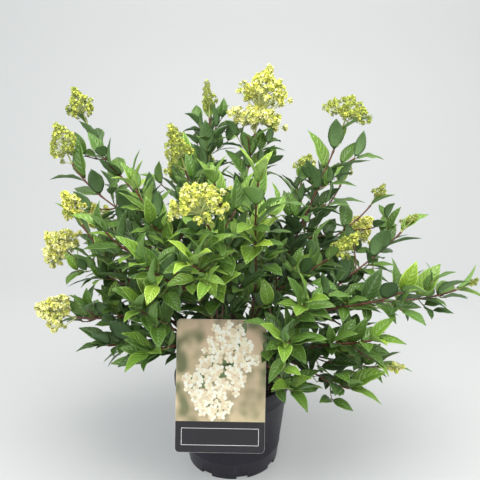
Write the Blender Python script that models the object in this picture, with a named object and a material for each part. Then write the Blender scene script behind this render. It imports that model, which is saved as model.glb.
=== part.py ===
"""Panicle hydrangea shrub in a 19 cm nursery pot, with a picture card hooked on the rim.

Units are metres and +Z is up. The origin is the centre of the pot's flat underside. The front of
the plant, where the card hangs, faces -Y. Turns are in degrees from +X, seen from above.

A short stem on the compost carries the boughs. Each bough ends in a fork, where the stems of its
masses of foliage start. A mass is one stem with seeded side twigs, leaves in opposite pairs and,
on many, a bloom at the tip, all fused into one solid.
"""
import math
import random
from typing import NamedTuple

import bmesh
import bpy
import numpy
from mathutils import Matrix, Vector
from mathutils.bvhtree import BVHTree

UP = Vector((0.0, 0.0, 1.0))
FIRST_RING_SIDE = Vector((0.31, 0.77, 0.56))
CLEARANCE = 0.0003
WELD = 0.000002
NUDGE = 0.00015
ROUND_SIDES = 32
SMOOTH_ANGLE = math.radians(35.0)
SEED = 4107

# Pot
POT_HEIGHT = 0.150
POT_FOOT_RADIUS = 0.0745
POT_WAIST_RADIUS = 0.0905
POT_WALL = 0.0018
POT_FLOOR = 0.0025
LIP_RADIUS = 0.0950
LIP_DEPTH = 0.013
LIP_EASE = 0.0008
NOTCH_COUNT = 8
NOTCH_WIDTH = 0.018
NOTCH_HEIGHT = 0.0075
NOTCH_INNER_RADIUS = 0.0665
FIRST_NOTCH_TURN = -78.0

# Compost, level at the wall and mounded a little round the stem
COMPOST_EDGE = 0.1340
COMPOST_TOP = 0.1385
COMPOST_FLAT_RADIUS = 0.022

# Short stem that the boughs grow from
CROWN_FOOT_RADIUS = 0.0165
CROWN_WAIST_RADIUS = 0.0125
CROWN_HEAD_RADIUS = 0.0170
CROWN_HEAD_HEIGHT = 0.1660
CROWN_HEAD_RISES = (-40.0, -15.0, 10.0, 35.0, 60.0)
CROWN_SIDES = 20

# Picture card, leaning back over the lip from a hook that drops inside the pot
CARD_WIDTH = 0.133
CARD_HEIGHT = 0.198
CARD_THICKNESS = 0.0009
CARD_CORNER = 0.006
CARD_CENTRE_X = -0.017
CARD_BELOW_LIP = 0.073
CARD_LEAN = 16.0
CARD_ROLL = 1.0
HOOK_WIDTH = 0.030
HOOK_DROP = 0.011

# Space in front of the card that stays free of leaves, in the card's own axes
CARD_VIEW_DEPTH = 0.14
CARD_VIEW_BEHIND = -0.004
CARD_VIEW_RIGHT = 0.048

# Limbs
CURVE_PULL = 0.36
LIMB_GAP = 0.0007
LIMB_BOWS = (0.008, 0.016, 0.026, 0.038, 0.052, 0.068)
BOW_TURNS = 8

# Boughs
BOUGH_SIDES = 6
BOUGH_RINGS = 6
BOUGH_FOOT_RADIUS = 0.0039
BOUGH_TIP_RADIUS = 0.0033
FORK_SHARE = 0.31
FORK_LIFT = 0.9
FORK_SAMPLES = 5
FORK_SLOT_RADIUS = 0.0027

# Stems: the tip lies flat on the lowest shoots and stands steep on the highest
STEM_SIDES = 3
STEM_FOOT_RADIUS = 0.0017
STEM_TIP_RADIUS = 0.0012
FIRST_NODE = 0.026
INTERNODE = 0.037
NODE_CROWDING = 0.86
NODE_TURN = 90.0
NODE_TURN_SPREAD = 14.0
FLOWER_STALK = 0.026
BARE_TIP = 0.003
FLAT_TIP_HEIGHT = 0.20
FLAT_TIP_RISE = 12.0
STEEP_TIP_HEIGHT = 0.50
STEEP_TIP_RISE = 72.0

# Side twigs, with each leaf's place along the twig, turn and length
TWIG_RADIUS = 0.0011
TWIG_TAPER = 0.8
TWIG_LENGTH = (0.030, 0.052)
TWIG_CHANCE = 0.36
TWIG_ZONE = (0.15, 0.85)
TWIG_AXIL = 0.002
TWIG_AXIL_TURN = 8.0
TWIG_START_LEAN = 0.75
TWIG_END_LEAN = 0.6
TWIG_LIFT = 0.5
TWIG_TEST_START = 0.012
TWIG_TEST_RADIUS = 0.0018
TWIG_LEAVES = ((0.5, 0.0, 0.66), (0.5, 180.0, 0.66), (0.97, 90.0, 0.62), (0.97, 270.0, 0.55))
TWIG_LEAF_OPENING = 48.0

# Leaves: each stands out from its stem by its opening, and its shape is in shares of its length
LEAF_LENGTH = 0.086
LEAF_LENGTH_CURVE = (0.88, 0.42, -0.56)
LEAF_LENGTH_SPREAD = (0.9, 1.1)
LEAF_OPENING = 66.0
LEAF_OPENING_SPREAD = 8.0
TIP_LEAF_OPENING = 40.0
LEAF_LOWEST_WAY = -0.22
LEAF_FACE_LEAN = 0.55
LEAF_WIDTH_SHARE = 0.41
LEAF_WIDEST = 0.50
LEAF_RIDGE = 0.36
LEAF_DROOP = 0.10
LEAF_FOLD = 0.22
LEAF_THICKNESS = 0.0012
LEAF_ROOT_DEPTH = 0.0005
LEAF_GAP = 0.0005
LEAF_CUT_BASE = 0.06
LEAF_CUT_MOST = 0.2
LOWEST_LEAF = 0.150

# Blooms
BLOOM_SIDES = 7
BLOOM_LEVELS = ((0.10, 0.70), (0.45, 1.00), (0.80, 0.68))
BLOOM_SINK = 0.12
BLOOM_REACH_SPREAD = (0.86, 1.08)
BLOOM_HEIGHT_SPREAD = (0.9, 1.1)


class Shoot(NamedTuple):
    """Tip of a mass's stem, by its turn, reach and height, and the size of its bloom."""

    turn: float
    reach: float
    height: float
    bloom_width: float = 0.0
    bloom_height: float = 0.0


class Bough(NamedTuple):
    """Bough by its name, the turn and rise at its foot, and the shoots that it carries."""

    name: str
    turn: float
    rise: float
    shoots: tuple


LOW_RISE = 12.0
HIGH_RISE = 50.0

SHOWN_BOUGHS = (
    Bough("front_left_low", -137.0, LOW_RISE, (
        Shoot(-133, 0.165, 0.247),
        Shoot(-129, 0.190, 0.321),
        Shoot(-162, 0.196, 0.227))),
    Bough("left_low", 178.0, LOW_RISE, (
        Shoot(-170, 0.262, 0.272, 0.055, 0.045),
        Shoot(175, 0.264, 0.351, 0.070, 0.047),
        Shoot(180, 0.238, 0.420, 0.045, 0.040))),
    Bough("right_low", 2.0, LOW_RISE, (
        Shoot(10, 0.291, 0.391, 0.020, 0.018),
        Shoot(0, 0.372, 0.304, 0.020, 0.018),
        Shoot(-18, 0.257, 0.321))),
    Bough("front_right_low", -40.0, LOW_RISE, (
        Shoot(-12, 0.249, 0.185, 0.018, 0.026),
        Shoot(-33, 0.203, 0.184),
        Shoot(-29, 0.226, 0.259))),
    Bough("front_low", -75.0, LOW_RISE, (
        Shoot(-68, 0.190, 0.287),
        Shoot(-61, 0.172, 0.203),
        Shoot(-55, 0.170, 0.326))),
    Bough("front_left_high", -108.0, HIGH_RISE, (
        Shoot(-124, 0.193, 0.386),
        Shoot(-103, 0.206, 0.402),
        Shoot(-102, 0.174, 0.460, 0.076, 0.044))),
    Bough("left_high", 178.0, HIGH_RISE, (
        Shoot(-155, 0.192, 0.410),
        Shoot(-156, 0.146, 0.465),
        Shoot(-165, 0.076, 0.508, 0.047, 0.055))),
    Bough("back_left_high", 112.0, HIGH_RISE, (
        Shoot(157, 0.262, 0.560, 0.052, 0.047),
        Shoot(166, 0.270, 0.503, 0.053, 0.053),
        Shoot(108, 0.126, 0.571, 0.030, 0.046))),
    Bough("right_high", 45.0, HIGH_RISE, (
        Shoot(13, 0.178, 0.560, 0.072, 0.034),
        Shoot(28, 0.213, 0.462, 0.022, 0.018),
        Shoot(22, 0.262, 0.426, 0.027, 0.024))),
    Bough("front_right_high", -33.0, HIGH_RISE, (
        Shoot(-76, 0.144, 0.491),
        Shoot(-18, 0.165, 0.375, 0.038, 0.046))),
    Bough("leader", 0.0, 90.0, (
        Shoot(45, 0.056, 0.554, 0.086, 0.092),
        Shoot(-119, 0.050, 0.472))),
)

# The far side, finished by rule like what shows
BACK_TURNS = (47.0, 92.0, 135.0)
BACK_SPREAD = 15.0
BACK_HEIGHTS = (0.255, 0.365, 0.455)
BACK_REACHES = (0.235, 0.270, 0.205)
BACK_BLOOMS = (0.0, 0.055, 0.045)
BACK_BLOOM_SHAPE = 0.8
BACK_TURN_SPREAD = 5.0
BACK_REACH_SPREAD = (0.94, 1.06)
BACK_HEIGHT_SPREAD = 0.02
BACK_BLOOM_SPREAD = (0.85, 1.15)


def unit(turn, rise=0.0):
    """Return the unit vector at a turn and a rise in degrees."""
    t, r = math.radians(turn), math.radians(rise)
    return Vector((math.cos(t) * math.cos(r), math.sin(t) * math.cos(r), math.sin(r)))


def across(direction, hint):
    """Return the part of hint that is square to direction, as a unit vector."""
    part = hint - direction * hint.dot(direction)
    if part.length < 1e-4:
        part = direction.orthogonal()
    return part.normalized()


def make_material(name, colour, roughness, metallic=0.0):
    """Return a Principled BSDF material of one colour."""
    material = bpy.data.materials.new(name)
    material.use_nodes = True
    shader = material.node_tree.nodes["Principled BSDF"]
    shader.inputs["Base Color"].default_value = (*colour, 1.0)
    shader.inputs["Roughness"].default_value = roughness
    shader.inputs["Metallic"].default_value = metallic
    return material


def make_object(name, verts, faces, material=None):
    """Return a new linked object with the given mesh."""
    mesh = bpy.data.meshes.new(name)
    mesh.from_pydata([tuple(v) for v in verts], [], faces)
    mesh.validate()
    item = bpy.data.objects.new(name, mesh)
    bpy.context.scene.collection.objects.link(item)
    if material:
        mesh.materials.append(material)
    return item


def shade_round(item):
    """Shade an object smooth and keep its real edges sharp."""
    item.data.shade_smooth()
    item.data.set_sharp_from_angle(angle=SMOOTH_ANGLE)


def lathe(name, profile, sides, material):
    """Turn a profile of (radius, height) points round Z. Its first and last points are on the axis."""
    verts = [(0.0, 0.0, profile[0][1])]
    for radius, height in profile[1:-1]:
        for k in range(sides):
            angle = 2.0 * math.pi * k / sides
            verts.append((radius * math.cos(angle), radius * math.sin(angle), height))
    verts.append((0.0, 0.0, profile[-1][1]))
    last = len(verts) - 1
    faces = []
    for k in range(sides):
        n = (k + 1) % sides
        faces.append((0, 1 + n, 1 + k))
        for ring in range(len(profile) - 3):
            low, high = 1 + ring * sides, 1 + (ring + 1) * sides
            faces.append((low + k, low + n, high + n, high + k))
        top = 1 + (len(profile) - 3) * sides
        faces.append((top + k, top + n, last))
    item = make_object(name, verts, faces, material)
    shade_round(item)
    return item


def build_notch_cutter():
    """Return the hidden boxes that cut the drainage notches out of the pot's foot."""
    verts, faces = [], []
    for k in range(NOTCH_COUNT):
        out = unit(FIRST_NOTCH_TURN + 360.0 * k / NOTCH_COUNT)
        side = UP.cross(out) * (NOTCH_WIDTH / 2.0)
        first = len(verts)
        near, far = out * NOTCH_INNER_RADIUS, out * LIP_RADIUS
        for height in (-NOTCH_HEIGHT, NOTCH_HEIGHT):
            for corner in (near - side, far - side, far + side, near + side):
                verts.append(corner + UP * height)
        faces.append((first + 3, first + 2, first + 1, first))
        faces.append((first + 4, first + 5, first + 6, first + 7))
        for i in range(4):
            j = (i + 1) % 4
            faces.append((first + i, first + j, first + 4 + j, first + 4 + i))
    cutter = make_object("notch_cutter", verts, faces)
    cutter.hide_render = True
    cutter.display_type = "WIRE"
    return cutter


def pot_inner_radius(height):
    """Return the radius of the pot's inner wall at a height."""
    share = height / (POT_HEIGHT - LIP_DEPTH)
    return POT_FOOT_RADIUS + (POT_WAIST_RADIUS - POT_FOOT_RADIUS) * share - POT_WALL


def build_pot():
    """Build the pot: tapered wall, rolled lip, flat floor and a notched foot."""
    lip_low = POT_HEIGHT - LIP_DEPTH
    profile = [
        (0.0, 0.0),
        (POT_FOOT_RADIUS - LIP_EASE, 0.0),
        (POT_FOOT_RADIUS, LIP_EASE),
        (POT_WAIST_RADIUS, lip_low),
        (LIP_RADIUS - LIP_EASE, lip_low),
        (LIP_RADIUS, lip_low + LIP_EASE),
        (LIP_RADIUS, POT_HEIGHT - LIP_EASE),
        (LIP_RADIUS - LIP_EASE, POT_HEIGHT),
        (pot_inner_radius(POT_HEIGHT), POT_HEIGHT),
        (pot_inner_radius(POT_FLOOR), POT_FLOOR),
        (0.0, POT_FLOOR),
    ]
    plastic = make_material("pot_plastic", (0.022, 0.020, 0.028), 0.42)
    pot = lathe("pot", profile, ROUND_SIDES, plastic)
    cut = pot.modifiers.new("drainage_notches", "BOOLEAN")
    cut.operation = "DIFFERENCE"
    cut.solver = "EXACT"
    cut.object = build_notch_cutter()
    return pot


def build_compost():
    """Build the compost that fills the pot."""
    profile = [
        (0.0, POT_FLOOR + CLEARANCE),
        (pot_inner_radius(POT_FLOOR) - 2 * CLEARANCE, POT_FLOOR + CLEARANCE),
        (pot_inner_radius(COMPOST_EDGE) - 2 * CLEARANCE, COMPOST_EDGE),
        (COMPOST_FLAT_RADIUS, COMPOST_TOP),
        (0.0, COMPOST_TOP),
    ]
    return lathe("compost", profile, ROUND_SIDES, make_material("compost", (0.045, 0.030, 0.020), 0.95))


def build_crown(bark):
    """Build the short stem with the rounded head that the boughs grow from."""
    foot = COMPOST_TOP + CLEARANCE
    neck = CROWN_HEAD_HEIGHT + CROWN_HEAD_RADIUS * math.sin(math.radians(CROWN_HEAD_RISES[0]))
    profile = [(0.0, foot), (CROWN_FOOT_RADIUS, foot), (CROWN_WAIST_RADIUS, (foot + neck) / 2.0)]
    for rise in CROWN_HEAD_RISES:
        angle = math.radians(rise)
        height = CROWN_HEAD_HEIGHT + CROWN_HEAD_RADIUS * math.sin(angle)
        profile.append((CROWN_HEAD_RADIUS * math.cos(angle), height))
    profile.append((0.0, CROWN_HEAD_HEIGHT + CROWN_HEAD_RADIUS))
    return lathe("crown_stem", profile, CROWN_SIDES, bark)


def card_frame():
    """Return the card's matrix: X along its width, Y up its face and Z out of its face."""
    seat = Vector((CARD_CENTRE_X, -LIP_RADIUS - CLEARANCE - CARD_THICKNESS, POT_HEIGHT))
    lean = Matrix.Rotation(math.radians(90.0 - CARD_LEAN), 4, "X")
    roll = Matrix.Rotation(math.radians(-CARD_ROLL), 4, "Z")
    return Matrix.Translation(seat) @ lean @ roll


def build_card():
    """Build the card with rounded corners and the hook behind it that holds it on the lip."""
    outline = []
    half = CARD_WIDTH / 2.0 - CARD_CORNER
    low, high = -CARD_BELOW_LIP + CARD_CORNER, CARD_HEIGHT - CARD_BELOW_LIP - CARD_CORNER
    corners = ((half, high, 0.0), (-half, high, 90.0), (-half, low, 180.0), (half, low, 270.0))
    for x, y, start in corners:
        for step in range(4):
            angle = math.radians(start + 30.0 * step)
            outline.append((x + CARD_CORNER * math.cos(angle), y + CARD_CORNER * math.sin(angle)))
    frame = card_frame()
    count = len(outline)
    verts = [frame @ Vector((x, y, 0.0)) for x, y in outline]
    verts += [frame @ Vector((x, y, CARD_THICKNESS)) for x, y in outline]
    faces = [tuple(reversed(range(count))), tuple(range(count, 2 * count))]
    for i in range(count):
        j = (i + 1) % count
        faces.append((i, j, count + j, count + i))
    card = make_object("picture_card", verts, faces, make_material("card_print", (0.55, 0.47, 0.30), 0.35))
    return fuse(card, [build_hook()])


def build_hook():
    """Build the card's hook: up from the card, over the lip and down inside the pot's wall."""
    half = HOOK_WIDTH / 2.0
    wall = pot_inner_radius(POT_HEIGHT - HOOK_DROP) * math.cos(math.pi / ROUND_SIDES)
    inner = math.sqrt(wall ** 2 - (half - CARD_CENTRE_X) ** 2) - 2 * CLEARANCE
    front = -LIP_RADIUS - CLEARANCE - CARD_THICKNESS
    wall_side, middle_side = -inner, -inner + CARD_THICKNESS
    low, under = POT_HEIGHT - HOOK_DROP, POT_HEIGHT + 4 * CLEARANCE
    top = under + CARD_THICKNESS
    side_view = [(front, under), (wall_side, under), (wall_side, low),
                 (middle_side, low), (middle_side, top), (front, top)]
    verts = [(CARD_CENTRE_X - half, y, z) for y, z in side_view]
    verts += [(CARD_CENTRE_X + half, y, z) for y, z in side_view]
    count = len(side_view)
    faces = [tuple(range(count)), tuple(reversed(range(count, 2 * count)))]
    for i in range(count):
        j = (i + 1) % count
        faces.append((j, i, count + i, count + j))
    return make_object("hook", verts, faces)


def surface_trees(item):
    """Return the triangles of an object's mesh as vertices and faces for a search tree."""
    mesh = item.data
    mesh.calc_loop_triangles()
    verts = [vertex.co.copy() for vertex in mesh.vertices]
    return verts, [tuple(t.vertices) for t in mesh.loop_triangles]


def main_body(mesh):
    """Weld a mesh, leave its largest connected surface, and return the places where it is faulty."""
    shape = bmesh.new()
    shape.from_mesh(mesh)
    bmesh.ops.remove_doubles(shape, verts=shape.verts[:], dist=WELD)
    bmesh.ops.dissolve_degenerate(shape, edges=shape.edges[:], dist=WELD)
    bmesh.ops.triangulate(shape, faces=shape.faces[:])
    left = set(shape.faces)
    groups = []
    while left:
        start = left.pop()
        group, queue = {start}, [start]
        while queue:
            for edge in queue.pop().edges:
                for face in edge.link_faces:
                    if face not in group:
                        group.add(face)
                        queue.append(face)
        left -= group
        groups.append(group)
    main = max(groups, key=len)
    spare = [face for face in shape.faces if face not in main]
    bmesh.ops.delete(shape, geom=spare, context="FACES")
    faults = [edge.verts[0].co.copy() for edge in shape.edges if not edge.is_manifold]
    faults += [vertex.co.copy() for vertex in shape.verts if not vertex.is_manifold]
    shape.to_mesh(mesh)
    shape.free()
    return faults


def distance_to(part, place):
    """Return how far a place is from the surface of a part."""
    return (part.closest_point_on_mesh(place - part.location)[1] + part.location - place).length


def fuse(body, parts):
    """Join parts to body by one union on a collection, applied, and remove the parts.

    Where the union fails, the part at the fault is first moved a hair, and then left out.
    """
    group = bpy.data.collections.new(body.name + "_parts")
    bpy.context.scene.collection.children.link(group)
    for part in parts:
        group.objects.link(part)
    union = body.modifiers.new("union", "BOOLEAN")
    union.operation = "UNION"
    union.operand_type = "COLLECTION"
    union.collection = group
    moved = set()
    while True:
        for solver in ("EXACT", "MANIFOLD"):
            union.solver = solver
            graph = bpy.context.evaluated_depsgraph_get()
            result = bpy.data.meshes.new_from_object(body.evaluated_get(graph))
            faults = main_body(result)
            if not faults:
                break
        if not faults:
            break
        part = min(parts, key=lambda item: distance_to(item, faults[0]))
        if part.name in moved:
            parts.remove(part)
            bpy.data.objects.remove(part)
        else:
            moved.add(part.name)
            part.location = UP * NUDGE
    body.modifiers.remove(union)
    body.data = result
    for part in parts:
        bpy.data.objects.remove(part)
    bpy.data.collections.remove(group)
    return body


def curve_points(start, start_way, end, end_way, count, bow=None):
    """Return points on a smooth curve between two ends with their directions."""
    pull = (end - start).length * CURVE_PULL
    second = start + start_way * pull
    third = end - end_way * pull
    if bow:
        second = second + bow
        third = third + bow
    points = []
    for i in range(count + 1):
        t = i / count
        s = 1.0 - t
        points.append(start * s ** 3 + second * (3 * s * s * t) + third * (3 * s * t * t) + end * t ** 3)
    return points


class Limb:
    """Smooth tapering limb, sampled finely so that points along it can be read off."""

    SAMPLES = 120

    def __init__(self, start, start_way, end, end_way, foot_radius, tip_radius, bow=None):
        self.points = curve_points(start, start_way, end, end_way, self.SAMPLES, bow)
        self.start_way = start_way.normalized()
        self.marks = [0.0]
        for a, b in zip(self.points, self.points[1:]):
            self.marks.append(self.marks[-1] + (b - a).length)
        self.length = self.marks[-1]
        self.foot_radius = foot_radius
        self.tip_radius = tip_radius

    def at(self, distance):
        """Return the point at a distance along the limb."""
        distance = min(max(distance, 0.0), self.length)
        low, high = 0, self.SAMPLES
        while high - low > 1:
            mid = (low + high) // 2
            if self.marks[mid] <= distance:
                low = mid
            else:
                high = mid
        span = self.marks[high] - self.marks[low]
        return self.points[low].lerp(self.points[high], (distance - self.marks[low]) / span)

    def way(self, distance):
        """Return the direction of the limb at a distance along it."""
        if distance <= 0.0:
            return self.start_way
        step = self.length * 0.02
        return (self.at(distance + step) - self.at(distance - step)).normalized()

    def chord_at(self, distance, marks):
        """Return the point at a distance along the straight runs between rings at some marks."""
        for low, high in zip(marks, marks[1:]):
            if distance <= high:
                return self.at(low).lerp(self.at(high), (distance - low) / (high - low))
        return self.at(marks[-1])

    def radius(self, distance):
        """Return the limb's radius at a distance along it."""
        share = distance / self.length
        return self.foot_radius + (self.tip_radius - self.foot_radius) * share

    def samples(self, spacing=0.002):
        """Return rows of x, y, z and radius along the limb."""
        count = max(2, round(self.length / spacing))
        marks = [self.length * i / count for i in range(count + 1)]
        return numpy.array([(*self.at(mark), self.radius(mark)) for mark in marks])


def tube(name, limb, marks, sides, material):
    """Return a closed tapering tube along a limb, with a ring of vertices at each mark."""
    verts, faces = [], []
    side = across(limb.way(0.0), FIRST_RING_SIDE)
    for mark in marks:
        way = limb.way(mark)
        side = across(way, side)
        other = way.cross(side)
        for k in range(sides):
            angle = 2.0 * math.pi * k / sides
            spoke = side * math.cos(angle) + other * math.sin(angle)
            verts.append(limb.at(mark) + spoke * limb.radius(mark))
    faces.append(tuple(reversed(range(sides))))
    for ring in range(len(marks) - 1):
        low, high = ring * sides, (ring + 1) * sides
        for k in range(sides):
            n = (k + 1) % sides
            faces.append((low + k, low + n, high + n, high + k))
    faces.append(tuple(range(len(verts) - sides, len(verts))))
    return make_object(name, verts, faces, material)


def room_round(rows, others, solids):
    """Return the smallest gap between a sampled limb and other sampled limbs and solids."""
    gap = 1.0
    for other in others:
        reach = numpy.linalg.norm(rows[:, None, :3] - other[None, :, :3], axis=2)
        gap = min(gap, (reach - rows[:, None, 3] - other[None, :, 3]).min())
    for row in rows:
        for tree in solids:
            gap = min(gap, tree.find_nearest(Vector(row[:3]))[3] - row[3])
    return gap


def clear_limb(start, start_way, end, end_way, radii, others, solids):
    """Return a limb between two ends, bowed sideways no further than it needs to clear the rest.

    Where no bow gives the full gap, the limb with the widest gap is returned.
    """
    line = (end - start).normalized()
    side = across(line, UP)
    other = line.cross(side)
    bows = [None]
    for amount in LIMB_BOWS:
        for step in range(BOW_TURNS):
            angle = 2.0 * math.pi * step / BOW_TURNS
            bows.append((side * math.cos(angle) + other * math.sin(angle)) * amount)
    best, best_gap = None, -1.0
    for bow in bows:
        limb = Limb(start, start_way, end, end_way, *radii, bow)
        gap = room_round(limb.samples(), others, solids)
        if gap > LIMB_GAP:
            return limb
        if gap > best_gap:
            best, best_gap = limb, gap
    return best


def back_boughs():
    """Return the boughs of the far side, with seeded differences from shoot to shoot."""
    draw = random.Random(SEED)
    boughs = []
    for index, turn in enumerate(BACK_TURNS):
        shoots = []
        for level, height in enumerate(BACK_HEIGHTS):
            swing = BACK_SPREAD * (1, -1, 0)[(level + index) % 3]
            swing += draw.uniform(-BACK_TURN_SPREAD, BACK_TURN_SPREAD)
            reach = BACK_REACHES[level] * draw.uniform(*BACK_REACH_SPREAD)
            bloom = BACK_BLOOMS[level] * draw.uniform(*BACK_BLOOM_SPREAD)
            lift = draw.uniform(-BACK_HEIGHT_SPREAD, BACK_HEIGHT_SPREAD)
            shoots.append(Shoot(turn + swing, reach, height + lift, bloom, bloom * BACK_BLOOM_SHAPE))
        boughs.append(Bough("back_low_" + str(index + 1), turn, LOW_RISE, tuple(shoots)))
    return tuple(boughs)


def tip_way(shoot):
    """Return the direction of a stem's tip: steep on a high shoot, flatter on a low one."""
    share = (shoot.height - FLAT_TIP_HEIGHT) / (STEEP_TIP_HEIGHT - FLAT_TIP_HEIGHT)
    rise = FLAT_TIP_RISE + (STEEP_TIP_RISE - FLAT_TIP_RISE) * min(max(share, 0.0), 1.0)
    return unit(shoot.turn, rise)


def fork_slots(fork, way, shoots):
    """Return for each shoot the direction, across the fork, of its own place on it."""
    side = across(way, UP)
    other = way.cross(side)
    angles = []
    for index, shoot in enumerate(shoots):
        to_tip = tip_place(shoot) - fork
        angles.append((math.atan2(to_tip.dot(other), to_tip.dot(side)), index))
    angles.sort()
    step = 2.0 * math.pi / len(shoots)
    offsets = [angle - step * rank for rank, (angle, _) in enumerate(angles)]
    base = math.atan2(sum(math.sin(a) for a in offsets), sum(math.cos(a) for a in offsets))
    slots = [None] * len(shoots)
    for rank, (_, index) in enumerate(angles):
        angle = base + step * rank
        slots[index] = side * math.cos(angle) + other * math.sin(angle)
    return slots


def leaf_length(share):
    """Return a leaf's length at a share of the way along its stem: longest a little below halfway."""
    foot, rise, bend = LEAF_LENGTH_CURVE
    return LEAF_LENGTH * (foot + rise * share + bend * share ** 2)


def leaf_shape(root, way, face, length, grow=0.0, cut=0.0):
    """Return the six vertices and eight faces of a leaf.

    way runs from the leaf's root to its tip and face is its upper side. grow swells the leaf all
    round, and cut leaves out that share of its root, for testing it against its neighbours.
    """
    side = way.cross(face).normalized()
    half = length * LEAF_WIDTH_SHARE / 2.0 + grow
    thick = LEAF_THICKNESS / 2.0 + grow
    droop = length * LEAF_DROOP
    lift = half * LEAF_FOLD

    def place(share, sideways, up):
        return root + way * (length * share) + side * sideways + face * up

    verts = [
        place(cut, 0.0, 0.0),
        place(1.0, 0.0, -droop) + (way * grow),
        place(LEAF_WIDEST, half, lift),
        place(LEAF_WIDEST, -half, lift),
        place(LEAF_RIDGE, 0.0, thick),
        place(LEAF_RIDGE, 0.0, -thick),
    ]
    base, tip, right, left, top, under = range(6)
    faces = [(base, right, top), (base, top, left), (tip, top, right), (tip, left, top),
             (base, under, right), (base, left, under), (tip, right, under), (tip, under, left)]
    return verts, faces


class Space:
    """What has been placed so far, for testing what is placed next."""

    def __init__(self):
        self.items = []

    def add(self, verts, faces, owner):
        """Add a closed shape that belongs to an owner."""
        low = Vector([min(v[i] for v in verts) for i in range(3)])
        high = Vector([max(v[i] for v in verts) for i in range(3)])
        self.items.append((low, high, BVHTree.FromPolygons(verts, faces), owner))

    def touches(self, verts, faces, owner, own):
        """Say whether a shape meets the owner's things, if own is set, or anyone else's."""
        low = Vector([min(v[i] for v in verts) for i in range(3)])
        high = Vector([max(v[i] for v in verts) for i in range(3)])
        tree = BVHTree.FromPolygons(verts, faces)
        for other_low, other_high, other_tree, other_owner in self.items:
            if (other_owner == owner) != own:
                continue
            if any(low[i] > other_high[i] or high[i] < other_low[i] for i in range(3)):
                continue
            if tree.overlap(other_tree):
                return True
        return False


def hides_card(points, to_card):
    """Say whether any point lies in the space that the card is seen through."""
    for point in points:
        x, y, z = to_card @ point
        level = -CARD_BELOW_LIP < y < CARD_HEIGHT - CARD_BELOW_LIP
        before = CARD_VIEW_BEHIND < z < CARD_VIEW_DEPTH
        if -CARD_WIDTH / 2.0 < x < CARD_VIEW_RIGHT and level and before:
            return True
    return False


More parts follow.
